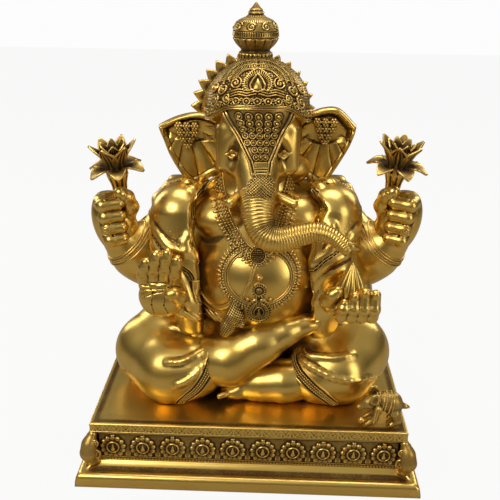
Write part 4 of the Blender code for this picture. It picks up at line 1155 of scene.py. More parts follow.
# %% [markdown]
# ## Trunk
# The trunk is a ring of points carried along a curve. Its ridges run across the front and top, and
# fade to a smooth underside: rounded arches of a sine along the length, times a mask round the ring.

# %% Trunk
RIDGE_PITCH, RIDGE_TALL = 0.0034, 0.00135
rows, cols = 620, 48
stations = curve_through(TRUNK, rows)
length = np.concatenate([[0], np.cumsum(np.linalg.norm(np.diff(stations[:, :3], axis=0), axis=1))])
path = stations[:, :3]
along = np.gradient(path, axis=0)
along /= np.linalg.norm(along, axis=1, keepdims=True)
forward = np.array([0, -1.0, 0.0]) - along * (along @ [0, -1.0, 0.0])[:, None]
forward /= np.linalg.norm(forward, axis=1, keepdims=True)
upper = np.cross(along, forward)
angle = TAU * np.arange(cols)[None] / cols
face = np.cos(angle + 0.85 * np.clip((length - 0.05) / 0.05, 0, 1)[:, None])
mask = np.clip((face + 0.12) * 3.0, 0, 1) * np.clip((length - 0.036) / 0.004, 0, 1)[:, None]
ridge = np.abs(np.sin(math.pi * length / RIDGE_PITCH))[:, None] ** 0.7
taper = np.clip((length[-1] - length) / 0.010, 0, 1)[:, None]
radius = (stations[:, 3:] * (0.93 + 0.07 * taper) + RIDGE_TALL * (ridge - 0.55) * mask * taper + 0.0006
          * mask)
shelf = 0.0010 * np.clip(1 - np.abs(face + 0.12) * 5, 0, 1)
radius = radius + shelf * np.clip((length - 0.04) / 0.01, 0, 1)[:, None]
rings = (path[:, None] + radius[..., None]
         * (np.cos(angle)[..., None] * forward[:, None] + np.sin(angle)[..., None] * upper[:, None]))
tip = path[-1] + along[-1] * 0.002
finger = np.array([0.0060, -0.001, -0.0010])
last = rings[-1]
lip = [last * (1 - s) + (tip + (last - path[-1]) * w) * s for s,
       w in ((1.0, 0.92), (1.0, 0.55), (1.0, 0.42))]
lip[1] = lip[1] - along[-1] * 0.0015
lip[2] = lip[2] - along[-1] * 0.0090
hole = np.repeat((path[-1] - along[-1] * 0.011)[None], cols, 0)
start_cap = np.repeat(path[:1], cols, 0)
points = np.concatenate([start_cap[None], rings, np.array(lip), hole[None]]).reshape(-1, 3)
make_piece("trunk", points, outward(points, grid_quads(rows + 5, cols)), ("trunk",))


def trunk_finger(p):
    """The small finger on the upper side of the trunk's tip."""
    end = TRUNK[-1]
    return chain(p, [(end[0] - 0.004, end[1] - 0.001, end[2] + 0.010, 0.0050),
                     (end[0] + 0.004, end[1] - 0.001, end[2] + 0.0065, 0.0046),
                     (end[0] + 0.0130, end[1], end[2] + 0.0020, 0.0022)], 0.006)


cast("trunk_finger", trunk_finger, (0.104, -0.126, 0.318), (0.140, -0.104, 0.350), 0.0009)

# %% [markdown]
# The tusks are short and cut off level, with the right one shorter. They are turned bars with a
# rounded end.

# %% Tusks
for name, root, end, r in (("right_tusk", (-0.010, -0.060, 0.386), (-0.0320, -0.0920, 0.3765), 0.0068),
                           ("left_tusk", (0.018, -0.060, 0.386), (0.0550, -0.0860, 0.3765), 0.0066)):
    root, end = np.array(root), np.array(end)
    t = np.concatenate([np.linspace(0, 0.93, 20), np.linspace(0.95, 1.0, 8)])
    shape = np.where(t < 0.93, 1.0 - 0.10 * t, 0.907
                     * np.sqrt(np.clip(1 - ((t - 0.93) / 0.0705) ** 2, 0.0004, 1)))
    make_piece(name, *tube(root + (end - root) * t[:, None], np.tile([0, 0, 1.0], (len(t), 1)), r * shape,
                           28), (name,))

# %% [markdown]
# ## Forehead shield
# The shield is a kite of metal between two raised rims, laid on the forehead. It carries five
# columns of ringed studs that thin out to a hatched pad, and under it sits an oval cut in diamonds.

# %% Shield
SHIELD_TOP, SHIELD_TALL, SHIELD_SKIN = 0.4880, 0.0770, 0.0022
SHIELD_DOWN = [0, 0.14, 0.45, 0.80, 1.0]
SHIELD_HALF = [0.0475, 0.0425, 0.0290, 0.0155, 0.0120]
rows, cols = 150, 110
v = np.linspace(0, 1, rows)[:, None]
u = np.linspace(-1, 1, cols)[None]
level = SHIELD_TOP - v * SHIELD_TALL
half = np.interp(v, SHIELD_DOWN, SHIELD_HALF)
middle = np.interp(v, [0, 1], [0.0045, 0.0095])
across = middle + u * half
flat = np.stack([across, np.full_like(across, -0.5), level + 0 * u], -1).reshape(-1, 3)


def front_hit(field, points, start=-0.14, end=0.04, steps=60):
    """Goes straight back from each point until the field turns negative, then halves the last step."""
    p = np.array(points, np.float32)
    depth = np.full(len(p), end, np.float32)
    found = np.zeros(len(p), bool)
    for y in np.linspace(start, end, steps):
        p[:, 1] = y
        now = (field(p) < 0) & ~found
        depth[now] = y
        found |= now
    low, high = depth - (end - start) / (steps - 1), depth.copy()
    for _ in range(9):
        p[:, 1] = (low + high) / 2
        inside = field(p) < 0
        high, low = np.where(inside, p[:, 1], high), np.where(inside, low, p[:, 1])
    p[:, 1] = high
    return p


skin = front_hit(head_base, flat)
normals = slope(head_base, skin)
x, z = (across - middle).ravel(), (level + 0 * u).ravel()
edge = (half * (1 - np.abs(u))).ravel()
end_edge = np.minimum(SHIELD_TOP - z, z - (SHIELD_TOP - SHIELD_TALL))
relief = SHIELD_SKIN + 0.0030 * round_top(edge - 0.0022, 0.0018) + 0.0022 * round_top(edge - 0.0060, 0.0014)
relief = np.maximum(relief, SHIELD_SKIN + 0.0018 * round_top(end_edge - 0.0020, 0.0016) * (z < 0.44))
for column in range(-2, 3):
    for row in range(7):
        centre = (column * (0.0118 - 0.0011 * row), 0.4805 - 0.0082 * row)
        width = np.interp((SHIELD_TOP - centre[1]) / SHIELD_TALL, SHIELD_DOWN, SHIELD_HALF)
        if abs(centre[0]) > width - 0.0095:
            continue
        size = 0.0037 - 0.00012 * row
        relief = np.maximum(relief, SHIELD_SKIN + ring(x, z, centre, size, 0.0009, 0.0018))
        relief = np.maximum(relief, SHIELD_SKIN + boss(x, z, centre, (size * 0.68, size * 0.68), 0.0040))
pad = (z < 0.4262) & (z > 0.4150) & (np.abs(x) < 0.0072)
hatch = np.maximum(np.abs(np.sin((x + z) * 1400)), np.abs(np.sin((x - z) * 1400)))
relief = np.where(pad, 0.0034 + 0.0006 * hatch, relief)
bars = round_top(z - 0.4190, 0.0008) + round_top(z - 0.4160, 0.0008)
relief = np.where(pad & (bars > 0), 0.0036 + 0.0008 * bars, relief)
front = skin + normals * relief[:, None]
back = skin - normals * 0.002
shield_points = np.concatenate([front, back])
grid = grid_quads(rows, cols, False, False)
index = np.arange(rows * cols).reshape(rows, cols)
loop = np.concatenate([index[0, :-1], index[:-1, -1], index[-1, :0:-1], index[:0:-1, 0]])
wall = np.stack([loop, loop + rows * cols, np.roll(loop, -1) + rows * cols, np.roll(loop, -1)], -1)
shield_quads = np.concatenate([grid, grid[:, ::-1] + rows * cols, wall])
make_piece("forehead_shield", shield_points, outward(shield_points, shield_quads), ("forehead_shield",),
           "antique")

# %% [markdown]
# The oval under the shield is laid on the trunk's root in the same way, as rings round its middle.

# %% Cut oval under the shield
OVAL_X, OVAL_Z = 0.0095, 0.3975
rows, cols = 60, 96
r = np.linspace(0, 1, rows)[:, None]
angle = TAU * np.arange(cols)[None] / cols
a, b = r * 0.0172 * np.cos(angle), r * 0.0150 * np.sin(angle)
flat = np.stack([OVAL_X + a, np.full_like(a, -0.5), OVAL_Z + b], -1).reshape(-1, 3)
skin = front_hit(head_base, flat)
normals = slope(head_base, skin)
cuts = np.minimum(np.abs(np.sin((a + b * 1.15) * 900)), np.abs(np.sin((a - b * 1.15) * 900)))
height = (0.0022 * np.sqrt(np.clip(1 - r**2, 0, 1)) + 0.0016 * np.clip(cuts * 2.2, 0, 1) * (r < 0.93)
          + 0.0008 * round_top(r - 0.95, 0.04)
          + 0.0012 * (r < 0.995) - 0.002 * (r >= 0.995)).ravel()
oval = skin + normals * height[:, None]
back = np.repeat((skin[-cols:].mean(0) + [0, 0.004, 0])[None], cols, 0)
oval = np.concatenate([oval, back])
make_piece("cut_oval", oval, outward(oval, grid_quads(rows + 1, cols)), kind="antique")

# %% [markdown]
# ## Ears
# An ear is a dish inside an outline. Points run from its middle out to the edge by a share of the
# edge's distance. The edge rolls into a thick rim over the top, and flutes fan out from the flower
# cluster down to the lower edge. The back is the same dish, a casting's thickness behind.

# %% Ears
RIGHT_EAR = [(-0.040, 0.455), (-0.055, 0.4640), (-0.078, 0.4690), (-0.104, 0.4640), (-0.1285, 0.4520),
             (-0.1310, 0.4460),
             (-0.1255, 0.4300), (-0.1170, 0.4080), (-0.1030, 0.3840), (-0.0900, 0.3680), (-0.0800, 0.3680),
             (-0.0600, 0.3800),
             (-0.0440, 0.3900), (-0.0330, 0.4200)]
LEFT_EAR = [(0.050, 0.455), (0.0650, 0.4680), (0.0880, 0.4780), (0.1100, 0.4775), (0.1310, 0.4580),
            (0.1345, 0.4510),
            (0.1290, 0.4300), (0.1180, 0.4080), (0.1050, 0.3860), (0.0930, 0.3700), (0.0840, 0.3720),
            (0.0680, 0.3840),
            (0.0550, 0.3920), (0.0430, 0.4200)]


def ear(name, outline, node):
    """One ear from its outline of (x, z) points.

    rho is 0 in the middle and 1 at the edge. The surface's depth is a sloping base, less a dish that is
    deepest in the middle, a rim whose section is half an ellipse, and flutes that are cosines of the
    angle round the flower cluster. The back repeats the dish at the casting's thickness.
    """
    outline = np.array(outline)
    side = np.sign(outline[:, 0].mean())
    middle = np.array([outline[:, 0].mean(), 0.4280])
    around_edge = curve_through(np.vstack([outline, outline[:1]]), 205)[:-1]
    cols = len(around_edge)
    rho = np.concatenate([np.linspace(0, 0.86, 44), np.linspace(0.875, 1, 16)])[:, None]
    x = middle[0] + (around_edge[None, :, 0] - middle[0]) * rho
    z = middle[1] + (around_edge[None, :, 1] - middle[1]) * rho
    reach = np.abs(x - 0.003)
    base = 0.022 - 0.10 * (reach - 0.05) + 1.5 * (reach - 0.05) ** 2 - 0.03 * (z - 0.40)
    hub = np.array([side * 0.094, 0.4560])
    fan = np.arctan2((x - hub[0]) * side, hub[1] - z)
    from_hub = np.hypot(x - hub[0], z - hub[1])
    flutes = np.clip((from_hub - 0.022) / 0.020, 0, 1) * np.clip((0.97 - rho) / 0.06, 0, 1)
    groove = np.abs(np.cos(fan * 8.0)) ** 0.5
    top = np.clip((around_edge[None, :, 1] - 0.4330) / 0.012, 0, 1)
    rim = np.sqrt(np.clip(1 - ((rho - 0.905) / 0.10) ** 2, 0, 1))
    dish = -0.0075 * (1 - np.clip(rho, 0, 1) ** 2.2) * (0.4 + 0.6 * top)
    forward = dish + 0.0085 * rim * top + 0.0024 * rim * (1 - top) + 0.0034 * (groove - 0.6) * flutes
    under = -0.0030 * np.exp(-(((rho - 0.78) / 0.05) ** 2)) * top
    front = base - forward - under
    back = base + 0.0075 + 0.002 * np.cos(rho * 9) - dish * 0.5
    edge = (base[-1] + 0.003)[None]
    sheet = lambda y, x=x, z=z: np.stack([x, np.broadcast_to(y, x.shape), z], -1)
    border = np.stack([x[-1:] + (x[-1:] - middle[0]) * 0.012, edge, z[-1:] + (z[-1:] - middle[1]) * 0.012],
                      -1)
    points = np.concatenate([sheet(front), border, sheet(back)[::-1]]).reshape(-1, 3)
    return make_piece(name, points, outward(points, grid_quads(2 * len(rho) + 1, cols)), (node,))


ear("right_ear_dish", RIGHT_EAR, "right_ear")
ear("left_ear_dish", LEFT_EAR, "left_ear")

# %% [markdown]
# Nine small blossoms hang in a triangle in front of each ear, each of six petals round a boss.

# %% Flower clusters
BLOSSOM_STEP = 0.0088
for name, x_sign, top in (("right_ear_flower", -1, 0.4520), ("left_ear_flower", 1, 0.4610)):
    spots = []
    for row, (count, spread) in enumerate(((3, 0.0220), (3, 0.0180), (2, 0.0090), (1, 0.0))):
        for number in range(count):
            shift = (number / max(count - 1, 1) - 0.5) * spread
            spots.append((x_sign * 0.0925 + shift + 0.001 * (row % 2), 0.0145 - 0.0010 * (count - row),
                          top - BLOSSOM_STEP * row))
    spots = np.array(spots)
    petals = TAU * np.arange(6) / 6
    blossoms = (spots[:, None] + np.stack([0.0038 * np.cos(petals), 0 * petals, 0.0038 * np.sin(petals)],
                                          -1)).reshape(-1, 3)
    facing = np.tile([0.0, -1.0, 0.0], (len(blossoms), 1))
    parts = [beads(blossoms, facing, np.tile([0.0023, 0.0023, 0.0030], (len(blossoms), 1))),
             beads(spots - [0, 0.0020, 0], facing[: len(spots)], np.full(len(spots), 0.0024)),
             beads(spots + [0, 0.0030, 0], facing[: len(spots)],
                   np.tile([0.0060, 0.0060, 0.0050], (len(spots), 1)))]
    make_piece(name + "_cluster", *joined(parts), (name,), "antique")

# %% [markdown]
# ## Crown
# The crown is a dome cut all over. Its points are an angle round the head and a height up the dome;
# relief is drawn in flat coordinates, the distance round and the distance up, and pushed out along
# the dome's normals. The front rim is lifted over the shield.

# %% Crown drawing
CROWN_FOOT = Vector((0.0030, 0.0040, 0.4800))
CROWN_R, CROWN_H = 0.0680, 0.0650
CROWN_TURN = np.array(Matrix.Rotation(math.radians(-8), 3, "X"))


def feather_fan(a, b, centre, inner, outer, count, start, end):
    """Short raised bars between two radii of a centre, over a range of angles from upright."""
    r = np.hypot(a - centre[0], b - centre[1])
    turn = np.arctan2(a - centre[0], b - centre[1])
    inside = (turn > start) & (turn < end)
    step = (end - start) / count
    bar = round_top(((turn - start) % step - step / 2) * r / (step * r), 0.36)
    ends = round_top(r - (inner + outer) / 2, (outer - inner) / 2)
    return inside * bar * np.clip(ends * 2, 0, 1)


def crown_relief(a, b, far):
    """Height of the crown's engraving, 0 to 1. a is the distance round from the front, b is up."""
    mirrored = np.abs(a)
    h = 0.10 + 0.10 * np.abs(np.sin(mirrored * 900)) * np.abs(np.cos(b * 800))
    put = lambda g: np.maximum(h, g)
    h = put(feather_fan(mirrored, b, (0, 0.034), 0.0130, 0.0205, 26, -2.2, 2.2))
    h = put(0.85 * wire(mirrored, b, [(0.0001, 0.0600), (0.0095, 0.0520), (0.0165, 0.0400),
                                      (0.0170, 0.0310), (0.0120, 0.0240)], 0.0013, 1))
    h = put(0.95 * wire(mirrored, b, [(0.0001, 0.0490), (0.0060, 0.0410), (0.0095, 0.0330),
                                      (0.0080, 0.0260), (0.0001, 0.0230)], 0.0012, 1))
    h = put(drop(mirrored, b, (0, 0.0320), 0.0072, 0.0120, 1.0))
    for reach, count in ((0.0250, 20), (0.0345, 26), (0.0440, 30)):
        h = put(feather_fan(mirrored, b, (0.006, 0.034), reach, reach + 0.0065, count, -0.3, 1.35)
                * (mirrored > 0.001))
        arc = np.abs(np.hypot(mirrored - 0.006, b - 0.034) - reach + 0.0012)
        h = put(0.8 * round_top(arc, 0.0010) * (b > 0.038))
    for centre, radius, start, way in (((0.0290, 0.0350), 0.0088, 2.0, 1),
                                       ((0.0470, 0.0300), 0.0080, 1.0, -1),
                                       ((0.0400, 0.0160), 0.0060, 4.0, 1),
                                       ((0.0620, 0.0200), 0.0085, 2.0, 1),
                                       ((0.0640, 0.0420), 0.0080, 0.5, -1)):
        h = put(wire(mirrored, b, spiral(centre, radius, 1.7, start, way, 26), 0.0013, 0.95))
        h = put(boss(mirrored, b, centre, (0.0022, 0.0022), 1.0))
    for lift in (0.0, 0.0034, 0.0068):
        sway = [(0.0020, 0.0205 + lift), (0.0130, 0.0175 + lift), (0.0230, 0.0195 + lift),
                (0.0340, 0.0165 + lift)]
        h = put(wire(mirrored, b, sway, 0.0011, 0.85) * (b < 0.0275))
    pitch = 0.0132
    local = (a + pitch / 2) % pitch - pitch / 2
    h = put(ring(local, b, (0, 0.0105), 0.0040, 0.0011, 0.9))
    h = put(boss(local, b, (0, 0.0105), (0.0024, 0.0024), 1.0))
    between = a % pitch - pitch / 2
    h = put(ring(between, b, (0, 0.0125), 0.0016, 0.0008, 0.75))
    h = put(boss(between, b, (0, 0.0075), (0.0014, 0.0014), 0.75))
    scales = (np.abs(np.sin(a * TAU / 0.0150 / 2))
              * np.abs(np.sin((b + 0.004 * np.floor(a / 0.0150)) * TAU / 0.0130 / 2)))
    back_pattern = np.clip(scales * 1.3, 0, 1) * 0.75
    h = np.where(far & (b > 0.0175), np.maximum(h * 0.0, back_pattern), h)
    h = np.where(b < 0.0060, np.maximum(0.15, 0.9 * round_top(b - 0.0005, 0.0010)), h)
    for level, width in ((0.0030, 0.0009), (0.0050, 0.0008)):
        h = np.maximum(h, 0.9 * round_top(b - level, width))
    return h


# %% [markdown]
# The dome itself is rows of one ring. Its radius falls as a rounded power of the height, the drawing
# above moves each point out, and the rows fold in under the rim to close the shell.

# %% Crown
rows, cols = 152, 440
t = np.linspace(0, 1, rows)[:, None]
theta = (TAU * np.arange(cols)[None] / cols) - math.pi
rise = np.clip((np.cos(theta) - 0.42) / 0.50, 0, 1)
lift = 0.0165 * rise * rise * (3 - 2 * rise) - 0.016
height = lift + (CROWN_H - lift) * np.sin(t * math.pi / 2)
share = np.clip(height / CROWN_H, 0, 1)
radius = CROWN_R * np.clip(1 - share**2.1, 0, 1) ** 0.52
radius = np.where(height < 0, CROWN_R - 0.02 * np.abs(height), radius)
arc = (np.arcsin(np.clip(share, 0, 1)) * 0.0700 + np.minimum(height, 0)) - np.minimum(lift, 0.02)
distance = theta * (0.25 * CROWN_R + 0.75 * radius)
far = np.abs(theta) > 1.95
relief = crown_relief(distance, arc, far)
fade = np.clip((radius - 0.004) / 0.014, 0, 1)
out = 0.0042 * (relief - 0.25) * fade
upward = np.clip(share, 0, 1) ** 1.6
reach = radius + out * (1 - 0.6 * upward)
points = np.stack([reach * np.sin(theta), -reach * np.cos(theta), height + out * upward], -1)
inner = np.stack([(CROWN_R - 0.008) * np.sin(theta), -(CROWN_R - 0.008) * np.cos(theta), lift + 0.001], -1)
deep = np.stack([0.3 * (CROWN_R - 0.008) * np.sin(theta), -0.3 * (CROWN_R - 0.008) * np.cos(theta),
                 lift * 0 + 0.010], -1)
shut = np.repeat(np.array([[[0, 0, 0.010]]]), cols, 1)
points = np.concatenate([shut, deep, inner, points]).reshape(-1, 3) @ CROWN_TURN.T + np.array(CROWN_FOOT)
make_piece("crown", points, outward(points, grid_quads(rows + 3, cols)), ("crown_dome",), "antique")

# %% [markdown]
# ## Finial and halo
# The finial is turned: a collar of petals, a squat ball with a fluted belt, a cut dome and a ridged
# point. Its relief is a wave round the axis whose count changes with the height.

# %% Finial
FINIAL_PLACE = (-0.002, 0.018, 0.5472)
rows, cols = 160, 180
profile = np.array([(0.0215, -0.007), (0.0222, 0.000), (0.0195, 0.0035), (0.0200, 0.0060), (0.0255, 0.0120),
                    (0.0288, 0.0185),
                    (0.0296, 0.0215), (0.0292, 0.0275), (0.0300, 0.0285), (0.0280, 0.0340),
                    (0.0225, 0.0405), (0.0135, 0.0450),
                    (0.0105, 0.0480), (0.0112, 0.0500), (0.0090, 0.0525), (0.0092, 0.0540),
                    (0.0060, 0.0565), (0.0035, 0.0600), (0.0008, 0.0630)])
line = spaced(np.column_stack([curve_through(profile, 900), np.zeros(900)]), 0.00046)[0]
line = line[np.linspace(0, len(line) - 1, rows).astype(int)]
r, z = line[:, :1], line[:, 1:2]
angle = TAU * np.arange(cols)[None] / cols
flutes = np.abs(np.cos(angle * 30)) * ((z > 0.0215) & (z < 0.0278))
leaves = (np.abs(np.cos(angle * 7)) ** 0.7 * np.clip((z - 0.004) / 0.014, 0, 1)
          * ((z > 0.004) & (z < 0.0195)))
pitch = TAU * 0.026 / 9
local = (angle * 0.026) % pitch - pitch / 2
curls = np.zeros(np.broadcast_shapes(local.shape, z.shape))
curls = (np.maximum(curls, wire(local, z, spiral((0.0, 0.0345), 0.0052, 1.6, 0.5, 1, 24), 0.0010, 1.0))
         * ((z > 0.029) & (z < 0.0405)))
curls = np.maximum(curls, np.abs(np.cos(angle * 26)) * ((z > 0.0395) & (z < 0.0445)) * 0.7)
strings = np.abs(np.cos(angle * 12)) * ((z > 0.0450) & (z < 0.0475)) * 0.6
collar = np.abs(np.cos(angle * 12)) * (z < 0.0015)
cut = 0.0010 * flutes + 0.0012 * leaves + 0.0015 * curls + 0.0008 * strings + 0.0010 * collar
cut = np.where((np.abs(z - 0.0205) < 0.0005) | (np.abs(z - 0.0285) < 0.0004), -0.0010, cut)
points = np.stack([(r + cut - 0.0006) * np.cos(angle), (r + cut - 0.0006) * np.sin(angle), z + 0 * angle],
                  -1)
ends = [np.repeat(points[end].mean(0)[None, None], cols, 1) for end in (0, -1)]
points = np.concatenate([ends[0], points, ends[1]]).reshape(-1, 3) + FINIAL_PLACE
make_piece("finial", points, outward(points, grid_quads(rows + 2, cols)), ("crown_finial",), "antique")

# %% [markdown]
# The halo is a disc with flame-like teeth. Its radius is a sharp wave of the angle, each tooth has a
# ridge up its middle, and rings are turned inside them.

# %% Halo
HALO_TEETH, HALO_EDGE, HALO_PLACE = 30, 0.0765, (-0.006, 0.070, 0.4600)
rows, cols = 26, 540
rho = np.linspace(0.0, 1, rows)[:, None]
angle = TAU * np.arange(cols)[None] / cols
saw = 1 - np.abs(((angle * HALO_TEETH / TAU) % 1) * 2 - 1)
edge = HALO_EDGE + 0.0110 * saw**0.9
r = rho * edge
tooth = np.clip((r - 0.0700) / 0.014, 0, 1)
height = (0.0010 * round_top(r - 0.0600, 0.0030) + 0.0010 * round_top(r - 0.0680, 0.0022) + 0.0016 * saw**2
          * tooth)
height = height + 0.0008 * np.abs(np.cos(angle * 45)) * ((r > 0.050) & (r < 0.057))
thick = 0.0028 - 0.0014 * tooth
flat = lambda y: np.stack([r * np.cos(angle), y + 0 * angle, r * np.sin(angle)], -1)
points = np.concatenate([flat(-thick - height), flat(thick + height)[::-1]]).reshape(-1, 3) + HALO_PLACE
make_piece("halo", points, outward(points, grid_quads(2 * rows, cols)), ("halo_disc",), "antique")

# %% [markdown]
# ## Shawl
# One shawl goes over both shoulders and the back. It is the arms' and the body's fields made thicker
# by the cloth, and cut away along the hem in front, so it always fits what it covers. Its folds are
# soft rolls laid along curves, from the shoulders down to the lap, and swags across the back.

# %% Shawl field
CLOTH = 0.0055
HEM_Z = [0.150, 0.224, 0.244, 0.269, 0.296, 0.330, 0.361, 0.372, 0.389, 0.400]
HEM_RIGHT = [0.066, 0.068, 0.073, 0.072, 0.077, 0.083, 0.082, 0.071, 0.050, 0.040]
HEM_LEFT = [0.082, 0.083, 0.085, 0.081, 0.078, 0.082, 0.096, 0.088, 0.064, 0.046]


def thicker(stations, cover):
    """The same stations with the cloth's cover added to each radius."""
    return [(x, y, z, r + cover) for x, y, z, r in stations]


SLEEVES = [(-1, thicker(REAR_RIGHT[:3], CLOTH), thicker(FRONT_RIGHT[:2], CLOTH),
            [(-0.100, -0.020, 0.340, 0.038), (-0.092, -0.038, 0.280, 0.028), (-0.080, -0.046, 0.222, 0.026),
             (-0.080, -0.046, 0.190, 0.026)]),
           (1, thicker(REAR_LEFT[:3], CLOTH), thicker(FRONT_LEFT[:2], CLOTH),
            [(0.104, -0.020, 0.345, 0.038), (0.100, -0.040, 0.285, 0.029), (0.096, -0.048, 0.226, 0.027),
             (0.094, -0.048, 0.196, 0.026)])]


def shawl_base(p):
    """The shawl without folds.

    Sleeves and hanging ends are chains, and the back is the body grown by the cloth. The cloth is then
    cut by the hem in front, by the lower edge, and level across each upper arm.
    """
    x, y, z = p[:, 0], p[:, 1], p[:, 2]
    side = np.where(x < 0.003, np.float32(-1), np.float32(1))
    f = None
    for _, rear, front, hang in SLEEVES:
        part = blend(blend(chain(p, rear, 0.02), chain(p, front, 0.02), 0.022), chain(p, hang, 0.02), 0.022)
        f = part if f is None else np.minimum(f, part)
    cloth = np.maximum(body(p) - CLOTH, np.maximum(z - 0.392, 0.096 - z))
    f = blend(f, cloth, 0.016)
    behind = np.clip((y - 0.018) / 0.020, 0, 1)
    edge = np.where(side < 0, np.interp(z, HEM_Z, HEM_RIGHT),
                    np.interp(z, HEM_Z, HEM_LEFT)).astype(np.float32)
    edge = edge * (1 - behind) - 0.02 * behind
    f = -blend(-f, (side * x - edge) * 0.9, 0.003)
    low = np.where(y > 0.045, 0.096, 0.176 - 0.4 * np.clip(np.abs(x) - 0.06, 0, 1))
    f = np.maximum(f, low - z)
    return np.maximum(f, (np.abs(x) - np.where(x < 0, 0.1385, 0.1405)) * 0.9).astype(np.float32)


def fold(points, count=12, lift=-0.0016):
    """A fold's curve, moved on to the bare shawl and sunk a little into it."""
    return onto(shawl_base, curve_through(points, count), lift, 5)


FOLDS = [fold(points) for points in (
    [(-0.068, -0.010, 0.392), (-0.092, -0.030, 0.352), (-0.094, -0.050, 0.316), (-0.084, -0.058, 0.286)],
    [(-0.085, 0.000, 0.380), (-0.110, -0.018, 0.342), (-0.108, -0.040, 0.312), (-0.090, -0.055, 0.288)],
    [(-0.100, 0.005, 0.366), (-0.124, -0.010, 0.326), (-0.121, -0.034, 0.300), (-0.104, -0.052, 0.286)],
    [(-0.118, 0.020, 0.345), (-0.134, 0.000, 0.308), (-0.131, -0.020, 0.284)],
    [(-0.100, -0.055, 0.282), (-0.092, -0.065, 0.258), (-0.082, -0.070, 0.228)],
    [(-0.110, -0.050, 0.272), (-0.100, -0.064, 0.246), (-0.092, -0.068, 0.214)],
    [(0.074, -0.010, 0.396), (0.106, -0.030, 0.356), (0.101, -0.052, 0.326)],
    [(0.092, 0.000, 0.386), (0.119, -0.018, 0.348), (0.114, -0.040, 0.318)],
    [(0.106, 0.005, 0.370), (0.131, -0.010, 0.334), (0.127, -0.034, 0.306)],
    [(0.080, -0.066, 0.290), (0.086, -0.068, 0.308), (0.088, -0.060, 0.326)],
    [(0.080, -0.066, 0.288), (0.096, -0.068, 0.304), (0.108, -0.056, 0.318)],
    [(0.082, -0.068, 0.272), (0.098, -0.070, 0.292), (0.120, -0.056, 0.302)],
    [(0.086, -0.070, 0.258), (0.100, -0.074, 0.276), (0.122, -0.060, 0.286)],
    [(0.090, -0.072, 0.236), (0.098, -0.076, 0.258), (0.112, -0.068, 0.270)],
    [(-0.120, 0.030, 0.330), (-0.070, 0.080, 0.290), (0.003, 0.110, 0.262), (0.074, 0.080, 0.290),
     (0.126, 0.030, 0.335)],
    [(-0.110, 0.030, 0.362), (-0.060, 0.070, 0.335), (0.003, 0.090, 0.318), (0.064, 0.070, 0.338),
     (0.114, 0.030, 0.366)],
    [(-0.128, 0.040, 0.290), (-0.080, 0.090, 0.242), (0.003, 0.120, 0.206), (0.084, 0.090, 0.242),
     (0.134, 0.040, 0.295)],
    [(-0.130, 0.050, 0.250), (-0.085, 0.100, 0.196), (0.003, 0.125, 0.158), (0.088, 0.100, 0.196),
     (0.136, 0.050, 0.255)],
    [(-0.090, 0.030, 0.382), (-0.048, 0.060, 0.364), (0.003, 0.070, 0.354), (0.052, 0.060, 0.366),
     (0.094, 0.030, 0.386)],
)]


def shawl(p):
    """The shawl with its folds laid on."""
    return pleated(p, shawl_base, FOLDS, 0.0046, 0.007)


cast("shawl", shawl, (-0.150, -0.105, 0.088), (0.152, 0.135, 0.404), 0.0025, ("right_shawl", "left_shawl"))

# %% [markdown]
# The shawl's hems are bands between two cords with beads, and a woven zigzag runs between some folds.

# %% Shawl hems and woven bands
SHAWL_HEMS = {
    "right_front": ([(-0.050, -0.030, 0.390), (-0.070, -0.032, 0.373), (-0.083, -0.036, 0.358),
                     (-0.085, -0.042, 0.330),
                     (-0.079, -0.050, 0.298), (-0.0745, -0.058, 0.270), (-0.0755, -0.065, 0.246),
                     (-0.0705, -0.070, 0.226)], 0.0080),
    "left_front": ([(0.063, -0.030, 0.391), (0.088, -0.035, 0.373), (0.098, -0.040, 0.360),
                    (0.085, -0.045, 0.333),
                    (0.081, -0.060, 0.298), (0.084, -0.066, 0.268), (0.088, -0.070, 0.246),
                    (0.086, -0.070, 0.224)], 0.0080),
    "right_cross": ([(-0.134, -0.010, 0.305), (-0.120, -0.045, 0.293), (-0.103, -0.060, 0.286),
                     (-0.086, -0.066, 0.276), (-0.078, -0.066, 0.262)], 0.0070),
    "left_fan": ([(0.082, -0.068, 0.282), (0.098, -0.070, 0.298), (0.112, -0.058, 0.311),
                  (0.130, -0.030, 0.318)], 0.0070),
    "back_upper": ([(-0.088, 0.030, 0.374), (-0.048, 0.062, 0.352), (0.003, 0.075, 0.342),
                    (0.052, 0.062, 0.354), (0.092, 0.030, 0.378)], 0.0080),
    "back_lower": ([(-0.112, 0.075, 0.132), (-0.060, 0.105, 0.118), (0.003, 0.115, 0.112),
                    (0.066, 0.105, 0.118), (0.118, 0.075, 0.132)], 0.0110),
}
for name, (points, width) in SHAWL_HEMS.items():
    hem(f"shawl_hem_{name}", shawl, points, width, 0.0014, 90, bead=0.0011)
for number, (first, second) in enumerate(((0, 1), (1, 2), (6, 7), (7, 8), (10, 11), (14, 15), (14, 16)), 1):
    middle = (curve_through(FOLDS[first], 70) + curve_through(FOLDS[second], 70)) / 2
    parts = []
    line, direction = spaced(middle, 0.0032)
    line = onto(shawl, line, 0.0002, 5)
    normals = slope(shawl, line)
    side = np.cross(direction, normals)
    side /= np.linalg.norm(side, axis=1, keepdims=True) + 1e-9
    zigzag = line + side * (0.0016 * (-1.0) ** np.arange(len(line)))[:, None]
    parts.append(beads(onto(shawl, zigzag, 0.0001, 2), normals,
                       np.tile([0.0014, 0.0009, 0.0006], (len(line), 1)), direction + side * 0.6))
    make_piece(f"shawl_band_{number}", *joined(parts), kind="antique")
